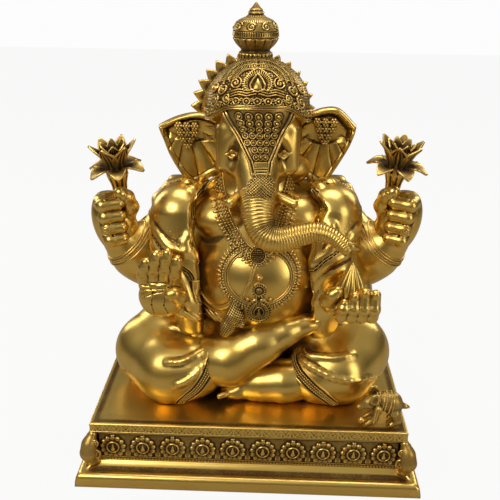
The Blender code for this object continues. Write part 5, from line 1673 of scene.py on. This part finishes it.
for name, x_sign, x in (("right", -1, 0.1365), ("left", 1, 0.1385)):
    sleeve = lambda p, x_sign=x_sign: np.minimum(*[chain(p, s, 0.02)
                                                   for s in (SLEEVES[(x_sign + 1) // 2][1:3])])
    bracelet(name + "_sleeve_hem", sleeve, (x_sign * x, 0.004, 0.272 if x_sign < 0 else 0.282),
             (1, -0.15 * x_sign, 0),
             [(-0.0035 * x_sign, 0.0013, False), (-0.0010 * x_sign, 0.0012, True),
              (0.0018 * x_sign, 0.0015, False)])

# %% [markdown]
# ## Waist and jewellery
# The garland lies on the belly as a ring, with a necklace over it and a tall pendant below. Their
# lines are drawn flat, then moved straight back on to the body, as if laid there.

# %% Lay lines on the body
figure = lambda p: np.minimum(np.minimum(body(p), shawl(p)), np.minimum(right_leg(p), left_leg(p)))


def lay(flat, field=body, lift=0.0):
    """Points over (x, z) pairs on a field's front, and the normals there."""
    flat = np.asarray(flat, float)
    points = front_hit(field, np.column_stack([flat[:, 0], np.full(len(flat), -0.5), flat[:, 1]]), -0.15,
                       0.03, 120)
    normals = slope(field, points)
    return points + normals * lift, normals


def flat_curve(points, count=120):
    """A smooth curve through (x, z) pairs, as (x, z) pairs."""
    return curve_through([(x, 0, z) for x, z in points], count)[:, [0, 2]]


def offset(flat, shift):
    """A flat curve moved sideways by the same distance everywhere."""
    along = np.gradient(flat, axis=0)
    along /= np.linalg.norm(along, axis=1, keepdims=True) + 1e-12
    return flat + np.stack([-along[:, 1], along[:, 0]], -1) * shift


def laid_wire(flat, radius, field=body, lift=0.0, squash=1.0):
    """A wire that follows a flat curve over the body."""
    points, normals = lay(flat, field, lift)
    return sweep(points, normals, circle(radius, 8, squash))


def laid_beads(flat, step, radii, field=body, lift=0.0):
    """Beads at even steps along a flat curve over the body."""
    line = spaced(np.column_stack([flat, np.zeros(len(flat))]), step)[0][:, :2]
    points, normals = lay(line, field, lift)
    return beads(points, normals, np.tile(radii, (len(line), 1)), np.gradient(points, axis=0))


# %% [markdown]
# The garland is an open ring of a flat band, two cords, two rows of beads and a fringe of teeth.

# %% Garland
angle = np.linspace(math.radians(118), math.radians(422), 240)
ring_line = np.stack([0.0100 + (0.0455 - 0.001 * np.sin(angle)) * np.cos(angle),
                      0.2795 + 0.0390 * np.sin(angle)], -1)
parts = [laid_wire(offset(ring_line, 0.0046), 0.0011, lift=0.0012),
         laid_wire(offset(ring_line, 0.0022), 0.0011, lift=0.0016),
         laid_wire(ring_line, 0.0032, lift=0.0002, squash=0.6),
         laid_beads(offset(ring_line, -0.0006), 0.0034, (0.0017, 0.0016, 0.0016), lift=0.0026),
         laid_beads(offset(ring_line, -0.0040), 0.0042, (0.0020, 0.0019, 0.0018), lift=0.0018)]
teeth = spaced(np.column_stack([offset(ring_line, -0.0072), np.zeros(240)]), 0.0054)[0][:, :2]
points, normals = lay(teeth, body, 0.0014)
outwards = points - np.array([0.010, -0.095, 0.280])
parts.append(beads(points, normals, np.tile([0.0042, 0.0019, 0.0019], (len(points), 1)), outwards))
make_piece("garland", *joined(parts), ("long_garland",), "antique")

# %% [markdown]
# Two broad necklaces come down from the neck to the heart: a band with four rows of beads and leaves.

# %% Necklaces
necklaces = {"right": [(-0.050, 0.398), (-0.046, 0.375), (-0.036, 0.348), (-0.025, 0.328), (-0.010, 0.313),
                       (0.004, 0.306)],
             "left": [(0.054, 0.400), (0.048, 0.378), (0.042, 0.352), (0.034, 0.330), (0.022, 0.314),
                      (0.012, 0.307)]}
for name, points in necklaces.items():
    line = flat_curve(points, 150)
    way = 1 if name == "right" else -1
    parts = [laid_wire(line, 0.0088, lift=-0.0012, squash=0.30)]
    for shift in (-0.0074, -0.0037, 0.0, 0.0037):
        parts.append(laid_beads(offset(line, shift), 0.0037, (0.0017, 0.0017, 0.0017), lift=0.0022))
    parts.append(laid_wire(offset(line, way * 0.0066), 0.0010, lift=0.0014))
    parts.append(laid_wire(offset(line, -0.0056), 0.0007, lift=0.0014))
    parts.append(laid_wire(offset(line, 0.0019), 0.0007, lift=0.0014))
    leaves = spaced(np.column_stack([offset(line, -way * 0.0100), np.zeros(150)]), 0.0056)[0][:, :2]
    at, normals = lay(leaves, body, 0.0008)
    parts.append(beads(at, normals, np.tile([0.0040, 0.0021, 0.0019], (len(at), 1)),
                       np.tile([-way * 1.0, 0, -0.55], (len(at), 1))))
    make_piece(f"{name}_necklace", *joined(parts), kind="antique")

# %% [markdown]
# The thread runs down the belly as two cords with a row of fine beads between them.

# %% Sacred thread
line = flat_curve([(0.006, 0.304), (0.000, 0.282), (-0.010, 0.256), (-0.020, 0.238), (-0.026, 0.226)], 90)
parts = [laid_wire(offset(line, shift), 0.0013, lift=0.0008) for shift in (-0.0017, 0.0017)]
parts.append(laid_beads(line, 0.0020, (0.0011, 0.0008, 0.0008), lift=0.0016))
make_piece("thread", *joined(parts), ("sacred_thread",), "antique")

# %% [markdown]
# The pendants are small reliefs over a round grid that lies on the body.

# %% Medallions
def medallion(name, centre, half, relief, replaces=(), field=body, count=(56, 110)):
    """A polar grid laid on the body: relief(a, b) stands on it, and the edge turns down."""
    rows, cols = count
    r = np.linspace(0, 1, rows)[:, None]
    angle = TAU * np.arange(cols)[None] / cols
    a, b = r * np.cos(angle), r * np.sin(angle)
    shape = np.where(b > 0, 1 - 0.10 * b, 1.0)
    flat = np.stack([centre[0] + a * half[0] * shape, centre[1] + b * half[1]], -1).reshape(-1, 2)
    points, normals = lay(flat, field)
    height = (relief(a, b, r) * (r < 0.995) - 0.002 * (r >= 0.995)).ravel()
    made = points + normals * height[:, None]
    made = np.concatenate([made, np.repeat((points[-cols:].mean(0) - normals[0] * 0.002)[None], cols, 0)])
    return make_piece(name, made, outward(made, grid_quads(rows + 1, cols)), replaces, "antique")


def heart_relief(a, b, r):
    """A grained cushion inside a round rim, with a scalloped border."""
    grains = np.abs(np.sin(a * 16)) * np.abs(np.sin(b * 16))
    h = 0.0030 + 0.0012 * np.sqrt(np.clip(1 - r**2, 0, 1)) + 0.0018 * grains * (r < 0.62)
    h = np.maximum(h, 0.0036 + 0.0024 * round_top(r - 0.74, 0.09))
    return h + 0.0020 * np.abs(np.cos(np.arctan2(b, a) * 11)) * (r > 0.84)


def tall_relief(a, b, r):
    """Two rings of scallops round an oval rim, with a drop in the middle."""
    h = 0.0026 + 0.0022 * np.sqrt(np.clip(1 - r**2, 0, 1))
    h = h + 0.0019 * np.abs(np.cos(np.arctan2(b, a) * 13)) * ((r > 0.80) | ((r > 0.50) & (r < 0.66)))
    h = np.maximum(h, 0.0050 + 0.0022 * round_top(r - 0.72, 0.06))
    h = np.maximum(h, 0.0046 + 0.0020 * round_top(np.hypot(a / 0.36, (b + 0.02) / 0.40) - 1, 0.20))
    return np.maximum(h, 0.0045 + drop(a, b, (0, -0.10), 0.26, 0.42, 0.0058))


medallion("heart_pendant", (0.0080, 0.3060), (0.0125, 0.0110), heart_relief)
medallion("tall_medallion", (0.0105, 0.2350), (0.0165, 0.0200), tall_relief, ("tall_pendant",),
          count=(80, 150))
medallion("boss_pendant", (0.0105, 0.2650), (0.0100, 0.0100),
          lambda a, b, r: 0.0030 + 0.0010 * np.abs(np.cos(np.arctan2(b, a) * 8)) * (r > 0.6) + 0.0034
          * round_top(r, 0.45) + 0.0012 * round_top(r - 0.62, 0.1))
ball_at, ball_normal = lay([(0.0105, 0.2815), (0.0105, 0.2530), (0.0060, 0.2520), (0.0150, 0.2520),
                            (-0.004, 0.252), (0.025, 0.252)], body, 0.0020)
make_piece("pendant_balls", *beads(ball_at, ball_normal, [[0.0046, 0.0046, 0.0046],
                                                          [0.0030, 0.0030, 0.0034], [0.0024] * 3,
                                                          [0.0024] * 3,
                                                          [0.0024] * 3, [0.0024] * 3]), kind="antique")

# %% [markdown]
# The sash shows as a loop on the right hip, a knot with two ends, and pleats spread over the lap.

# %% Waist loop, knot and lap pleats
loop_line = flat_curve([(-0.0745, 0.262), (-0.0735, 0.246), (-0.0680, 0.233), (-0.0560, 0.2245),
                        (-0.0440, 0.2245), (-0.0330, 0.2310), (-0.0245, 0.2400)], 100)
parts = [laid_wire(loop_line, 0.0060, figure, -0.0006, 0.5),
         laid_wire(offset(loop_line, 0.0040), 0.0014, figure, 0.0020),
         laid_wire(offset(loop_line, -0.0040), 0.0014, figure, 0.0020)]
make_piece("waist_loop", *joined(parts))


def knot(p):
    """The sash's knot: one long end and one short end, with a fine weave over them."""
    f = chain(p, [(-0.0190, -0.0880, 0.2400, 0.0080), (-0.0220, -0.0900, 0.2240, 0.0100),
                  (-0.0300, -0.0880, 0.2060, 0.0090), (-0.0340, -0.0880, 0.1960, 0.0070)], 0.006)
    f = blend(f, chain(p, [(-0.0160, -0.0900, 0.2240, 0.0070), (-0.0130, -0.0920, 0.2120, 0.0055)], 0.004),
              0.004)
    return f - 0.0007 * np.sin(p[:, 0] * 1500 + p[:, 2] * 500) * np.sin(p[:, 2] * 1400 - p[:, 0] * 400)


cast("waist_knot", knot, (-0.048, -0.106, 0.180), (-0.002, -0.072, 0.256), 0.0009, ("waist_sash",),
     "antique")
parts = []
for number in range(5):
    x = -0.0860 + 0.0105 * number
    line = flat_curve([(x - 0.006, 0.2200 - 0.0015 * number), (x + 0.004, 0.2110 - 0.0015 * number),
                       (x + 0.018, 0.2010 - 0.0015 * number)], 40)
    points, normals = lay(line, figure, -0.0004)
    taper = 0.0034 * np.sin(math.pi * np.linspace(0.08, 0.98, 40)) ** 0.5
    parts.append(sweep(points, normals, circle(1.0, 10, 0.75)[None] * taper[:, None, None]))
make_piece("lap_pleats", *joined(parts))

# %% [markdown]
# ## Mouse
# The mouse is cast like the hands. It stands on four legs, with leaf ears, a collar, a girth of cords
# and beads, a short tail, and a sweet at its front paws.

# %% Mouse

def mouse(p):
    """The mouse: body, head, ears, four legs, a short tail and eyes."""
    at = lambda x, y, up: (x, y, SEAT + up)
    f = blob(p, at(0.182, -0.126, 0.0330), (0.0180, 0.0125, 0.0130), (0, 8, 0))
    f = blend(f, blob(p, at(0.192, -0.126, 0.0285), (0.0122, 0.0130, 0.0165)), 0.006)
    f = blend(f, blob(p, at(0.160, -0.129, 0.0330), (0.0115, 0.0090, 0.0090), (0, -18, 0)), 0.006)
    f = blend(f, chain(p, [(*at(0.157, -0.130, 0.0310), 0.0068), (*at(0.146, -0.131, 0.0265), 0.0034)],
                       0.004), 0.004)
    for y in (-0.117, -0.139):
        dish = blob(p, at(0.1655, y, 0.0425), (0.0070, 0.0030, 0.0088), (0, 24, 0))
        dish = carve(dish, blob(p, at(0.1645, y - 0.0028, 0.0425), (0.0046, 0.0012, 0.0062), (0, 24, 0)),
                     0.002)
        f = blend(f, dish, 0.002)
    for y in (-0.118, -0.135):
        for leg in ([(*at(0.171, y, 0.0260), 0.0058), (*at(0.167, y - 0.002, 0.0120), 0.0042),
                     (*at(0.157, y - 0.003, 0.0040), 0.0034)],
                    [(*at(0.193, y, 0.0200), 0.0075), (*at(0.197, y - 0.001, 0.0090), 0.0050),
                     (*at(0.189, y - 0.003, 0.0040), 0.0038)]):
            f = blend(f, chain(p, leg, 0.003), 0.003)
    tail = [(*at(0.201, -0.126, 0.0280), 0.0045), (*at(0.208, -0.126, 0.0258), 0.0030),
            (*at(0.2125, -0.126, 0.0245), 0.0017)]
    f = blend(f, chain(p, tail, 0.003), 0.003)
    for y in (-0.1245, -0.1345):
        f = blend(f, blob(p, at(0.1550, y, 0.0365), (0.0016, 0.0016, 0.0018)), 0.0006)
    return f


cast("mouse", mouse, (0.140, -0.150, SEAT - 0.002), (0.224, -0.106, SEAT + 0.056), 0.0008, ("mouse",),
     "antique", floor=SEAT + 0.0003)
bracelet("mouse_collar", mouse, (0.1700, -0.128, SEAT + 0.0330), (-0.95, 0.05, 0.10),
         [(-0.0014, 0.0009, False), (0.0012, 0.0010, True)])
bracelet("mouse_saddle", mouse, (0.1830, -0.126, SEAT + 0.0320), (-0.98, 0, 0.15),
         [(-0.0065, 0.0008, False), (-0.0030, 0.0011, True), (0.0030, 0.0011, True),
          (0.0065, 0.0008, False)])
sweet = beads([(0.1500, -0.1345, SEAT + 0.0075)], [(0.0, -0.6, 0.8)], [[0.0052, 0.0052, 0.0062]])
make_piece("sweet_in_paws", *sweet, ("mouse_sweet",), "antique")

# %% [markdown]
# ## Patina and painted shade
# Old brass keeps a dark film where a cloth never reaches, and painted shade is laid on with it. Two
# measures find those places from the meshes themselves: how far a vertex lies below its neighbours'
# mean, which marks the hollows that hold the film, and how much other surface is crowded round it,
# which stands in for the shade that nearby parts cast. Each is written as an attribute of the mesh,
# so no picture is needed.

# %% Measure the hollows, and the crowding that is painted as shade


def mesh_arrays(obj):
    """A mesh's points, normals and edges as arrays."""
    mesh = obj.data
    points = np.empty(len(mesh.vertices) * 3, np.float32)
    mesh.vertices.foreach_get("co", points)
    normals = np.empty(len(mesh.vertices) * 3, np.float32)
    mesh.vertex_normals.foreach_get("vector", normals)
    edges = np.empty(len(mesh.edges) * 2, np.int32)
    mesh.edges.foreach_get("vertices", edges)
    return points.reshape(-1, 3), normals.reshape(-1, 3), edges.reshape(-1, 2)


def neighbour_mean(values, edges, count):
    """Mean of each vertex's neighbours, by counting every edge both ways."""
    total = np.stack([np.bincount(edges[:, 0], values[edges[:, 1], i], count)
                      + np.bincount(edges[:, 1], values[edges[:, 0], i], count)
                      for i in range(values.shape[1])], -1)
    number = np.bincount(edges.ravel(), minlength=count)[:, None]
    return total / np.maximum(number, 1)


def hollow_depths(points, normals, edges, stops=(2, 8)):
    """How far a vertex lies below its smoothed self, along its normal, after so many rounds."""
    smooth, depths = points.astype(float), []
    for number in range(1, stops[-1] + 1):
        smooth = neighbour_mean(smooth, edges, len(points))
        if number in stops:
            depths.append(((smooth - points) * normals).sum(1))
    return depths


def crowding(all_points, weights, cell, spread):
    """A function that gives how much surface lies within a few cells of a place, by a blurred grid."""
    low = all_points.min(0) - 6 * cell
    counts = np.ceil((all_points.max(0) + 6 * cell - low) / cell).astype(int)
    index = ((all_points - low) / cell).astype(int)
    flat = np.ravel_multi_index(index.T, counts)
    grid = np.bincount(flat, weights, minlength=int(np.prod(counts))).reshape(counts).astype(np.float32)
    reach = np.arange(-3 * spread, 3 * spread + 1)
    kernel = np.exp(-0.5 * (reach / spread) ** 2)
    kernel /= kernel.sum()
    for axis in range(3):
        total = np.zeros_like(grid)
        for shift, weight in zip(reach, kernel):
            total += weight * np.roll(grid, shift, axis)
        grid = total
    grid /= cell**2

    def look(points):
        """The grid's value in the cell that holds each point."""
        at = ((points - low) / cell).astype(int)
        return grid[tuple(np.clip(at, 0, counts - 1).T)]

    return look


arrays = [mesh_arrays(piece) for piece in PIECES]
areas = []
for points, normals, edges in arrays:
    length = np.minimum(np.linalg.norm(points[edges[:, 0]] - points[edges[:, 1]], axis=1), 0.0025) ** 2
    areas.append((np.bincount(edges.ravel(), np.repeat(length, 2), len(points)) / 4).astype(np.float32))
cloud, weight = np.concatenate([a[0] for a in arrays]), np.concatenate(areas)
# Near and wide crowding stand in for the shade that surrounding surface casts; the material paints it dark.
near, wide = crowding(cloud, weight, 0.0025, 1), crowding(cloud, weight, 0.005, 2)
for piece, (points, normals, edges) in zip(PIECES, arrays):
    fine, broad = hollow_depths(points, normals, edges)
    # The crowding here is painted shade: the more surface crowds round a vertex, the darker its colour.
    crowd_shade = near(points + normals * 0.0025) + 1.3 * wide(points + normals * 0.008)
    for name, values in (("hollow", fine * 2200 + broad * 700), ("crowd_shade", crowd_shade)):
        layer = piece.data.attributes.new(name, "FLOAT", "POINT")
        layer.data.foreach_set("value", values.astype(np.float32))
    shares = np.percentile(np.stack([fine * 1e4, broad * 1e4, crowd_shade]), (10, 50, 90),
                           axis=1).T.round(2).tolist()
    print(piece.name, "fine, broad, crowd at 10, 50, 90 percent:", shares)
print("measured", len(cloud), "vertices")

# %% [markdown]
# ## Shader maths as expressions
# A material's mask is a sum. Written as nodes it takes a page, so a small class wraps a socket and
# lets Python's own operators add the Math nodes.

# %% A socket that does sums


class Wire:
    """A value in a node tree. Sums on it add Math nodes."""

    def __init__(self, tree, socket):
        self.tree, self.socket = tree, socket

    def node(self, kind, inputs=(), output=0, **settings):
        """Any node: its settings first, then the values or links of its sockets."""
        made = self.tree.nodes.new(kind)
        stops = settings.pop("stops", None)
        for key, value in settings.items():
            setattr(made, key, value)
        if stops:
            while len(made.color_ramp.elements) < len(stops):
                made.color_ramp.elements.new(0.5)
            for element, (place, colour) in zip(made.color_ramp.elements, stops):
                element.position, element.color = place, colour
        for key, value in dict(inputs).items():
            target = made.inputs[key]
            if isinstance(value, Wire):
                self.tree.links.new(value.socket, target)
            else:
                target.default_value = value
        return Wire(self.tree, made.outputs[output])

    def math(self, operation, *others):
        """One Math node with this value first."""
        return self.node("ShaderNodeMath", dict(enumerate((self, *others))), operation=operation)

    def __add__(self, other):
        return self.math("ADD", other)

    def __radd__(self, other):
        return self.math("ADD", other)

    def __sub__(self, other):
        return self.math("SUBTRACT", other)

    def __rsub__(self, other):
        return self.node("ShaderNodeMath", {0: other, 1: self}, operation="SUBTRACT")

    def __mul__(self, other):
        return self.math("MULTIPLY", other)

    def __rmul__(self, other):
        return self.math("MULTIPLY", other)

    def clipped(self, low=0.0, high=1.0):
        """The value kept between two bounds."""
        return self.math("MAXIMUM", low).math("MINIMUM", high)

    def ramp(self, low, high):
        """0 at low, 1 at high, smooth between."""
        return self.node("ShaderNodeMapRange", {0: self, 1: low, 2: high, 3: 0.0, 4: 1.0},
                         interpolation_type="SMOOTHSTEP")

    def mix(self, first, second):
        """Colour: first where this is 0, second where it is 1."""
        return self.node("ShaderNodeMix", {0: self, 6: first, 7: second}, 2, data_type="RGBA")


# %% [markdown]
# ## Brass
# The finish has three layers. Rubbed brass is bright and smooth. The hollows keep a brown film of
# oil and polish, which is rougher and less metallic, and the same brown is painted as shade where
# other surface crowds round the metal. Slow noise tints and dulls the metal, as hands and years do.

# %% Brass


def brass(name, bright, film_and_shade, hollow_at, crowd_shade_at, rough=(0.22, 0.45), film_everywhere=0.0):
    """Brass with a patina film in its hollows and painted shade where other surface crowds round: one mask
    from the two measured attributes gives both.
    """
    material = bpy.data.materials.new(name)
    material.use_nodes = True
    tree = material.node_tree
    shader = tree.nodes["Principled BSDF"]
    start = Wire(tree, None)
    place = start.node("ShaderNodeTexCoord", output=3)
    cloudy = start.node("ShaderNodeTexNoise", {"Vector": place, "Scale": 26.0, "Detail": 4.0})
    specks = start.node("ShaderNodeTexNoise", {"Vector": place, "Scale": 420.0, "Detail": 3.0})
    hollow = start.node("ShaderNodeAttribute", output=2, attribute_name="hollow")
    crowd_shade = start.node("ShaderNodeAttribute", output=2, attribute_name="crowd_shade")
    # The mask is the patina film in the hollows plus painted shade from the crowding measure.
    mask = hollow.ramp(*hollow_at) * 0.95 + crowd_shade.ramp(*crowd_shade_at) * 0.75 + film_everywhere
    mask = (mask * (0.4 + cloudy * 0.6 + specks * 0.6)).clipped()
    edge = (0.0 - hollow).ramp(0.15, 0.9)
    metal = (cloudy.ramp(0.35, 0.7)).mix((*bright, 1),
                                         (bright[0] * 0.93, bright[1] * 0.86, bright[2] * 0.72, 1))
    metal = (edge * 0.5).mix(metal, (min(bright[0] * 1.15, 1), min(bright[1] * 1.13, 1), bright[2] * 1.15,
                                     1))
    # Where the mask is high the colour is the dark brown: patina in hollows, painted shade where surface
    # crowds.
    colour = mask.mix(metal, (*film_and_shade, 1))
    tree.links.new(colour.socket, shader.inputs["Base Color"])
    roughness = rough[0] + mask * (rough[1] - rough[0]) + (specks - 0.5) * 0.10 + (cloudy - 0.5) * 0.10
    tree.links.new(roughness.clipped(0.06, 0.9).socket, shader.inputs["Roughness"])
    tree.links.new((1.0 - mask * 0.25).socket, shader.inputs["Metallic"])
    bump = start.node("ShaderNodeBump", {"Height": specks * 0.5 + cloudy * 0.5, "Strength": 0.08,
                                          "Distance": 0.0004})
    tree.links.new(bump.socket, shader.inputs["Normal"])
    return material


def floor_finish():
    """A dim floor for the metal to reflect, which the camera sees almost white."""
    material = bpy.data.materials.new("pale_floor")
    material.use_nodes = True
    shader = material.node_tree.nodes["Principled BSDF"]
    shader.inputs["Base Color"].default_value = (0.36, 0.33, 0.28, 1)
    shader.inputs["Roughness"].default_value = 0.8
    tree = material.node_tree
    start = Wire(tree, None)
    seen = start.node("ShaderNodeLightPath", output=0)
    white = start.node("ShaderNodeEmission", {"Color": (1, 1, 1, 1), "Strength": 1.0})
    shown = start.node("ShaderNodeMixShader", {0: seen * 0.93, 1: Wire(tree, shader.outputs[0]), 2: white})
    tree.links.new(shown.socket, tree.nodes["Material Output"].inputs["Surface"])
    return material


def build_world(world):
    """A pale room: the camera sees white, and the metal sees a light ceiling and a dimmer floor."""
    world.use_nodes = True
    tree = world.node_tree
    back = tree.nodes["Background"]
    start = Wire(tree, None)
    direction = start.node("ShaderNodeTexCoord", output=0)
    height = start.node("ShaderNodeSeparateXYZ", {0: direction}, 2)
    room = height.ramp(-0.10, 0.95).mix((0.060, 0.05, 0.035, 1), (0.40, 0.385, 0.34, 1))
    seen = start.node("ShaderNodeLightPath", output=0)
    tree.links.new(seen.mix(room, (0.98, 0.98, 0.98, 1)).socket, back.inputs["Color"])


# Each finish's second colour is the dark brown of its patina film and of the painted shade that shares its
# mask.
POLISHED = brass("polished_brass", (0.72, 0.500, 0.135), (0.100, 0.048, 0.010), (0.16, 0.75), (1.05, 3.2),
                 (0.31, 0.50))
ANTIQUE = brass("antique_brass", (0.74, 0.50, 0.14), (0.050, 0.023, 0.005), (-0.60, 0.42), (0.9, 3.2),
                (0.30, 0.6), 0.06)
for piece in PIECES:
    piece.data.materials.append(ANTIQUE if piece["kind"] == "antique" else POLISHED)
    del piece["kind"]
# The steel's darker colour is likewise film in hollows plus painted shade from the crowding measure.
STEEL = brass("anchor_steel", (0.46, 0.45, 0.43), (0.20, 0.17, 0.14), (0.2, 2.0), (3.0, 9.0), (0.35, 0.5))
for node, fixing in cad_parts.items():
    if node.startswith("anchor"):
        if not fixing.material_slots:
            fixing.data.materials.append(STEEL)
        for slot in fixing.material_slots:
            slot.material = STEEL
        print("hidden fixing keeps its CAD shape:", node)

# %% [markdown]
# ## Floor, light and view
# Polished brass shows what is around it, so the room matters as much as the metal: large soft lights
# make the long highlights, and the darker space between them gives the gold its depth.

# %% Floor
floor_mesh = bpy.data.meshes.new("floor")
floor_mesh.from_pydata([(-4, -3, 0), (4, -3, 0), (4, 5, 0), (-4, 5, 0)], [], [(0, 1, 2, 3)])
floor = bpy.data.objects.new("floor", floor_mesh)
floor.location.z = -0.0005
bpy.context.scene.collection.objects.link(floor)
floor.data.materials.append(floor_finish())

# %% [markdown]
# Five soft lights stand round the idol. The key is up on the left, and two behind rim the arms.

# %% Lights


def soft_light(name, place, target, size, power, colour):
    """A large area light at a place, turned towards its target."""
    light = bpy.data.lights.new(name, "AREA")
    light.shape = "RECTANGLE"
    light.size, light.size_y = size
    light.energy = power
    light.color = colour
    lamp = bpy.data.objects.new(name, light)
    lamp.location = place
    lamp.rotation_euler = (Vector(target) - Vector(place)).to_track_quat("-Z", "Y").to_euler()
    bpy.context.scene.collection.objects.link(lamp)
    return lamp


MIDDLE = (0, 0, 0.3)
soft_light("key", (-0.95, -1.35, 1.55), MIDDLE, (1.1, 0.9), 20, (1, 0.98, 0.94))
soft_light("fill", (1.5, -1.1, 0.8), MIDDLE, (0.6, 1.2), 7, (1, 0.97, 0.92))
soft_light("top", (0.1, 0.3, 2.0), MIDDLE, (1.4, 0.9), 17, (1, 1, 1))
soft_light("back_left", (-1.5, 1.2, 1.0), MIDDLE, (0.5, 1.2), 8, (1, 0.98, 0.95))
soft_light("back_right", (1.4, 1.3, 1.2), MIDDLE, (0.6, 1.0), 8, (1, 0.98, 0.95))

scene = bpy.context.scene
scene.world = bpy.data.worlds.new("studio")
build_world(scene.world)
scene.view_settings.view_transform = "Standard"
scene.view_settings.look = "None"
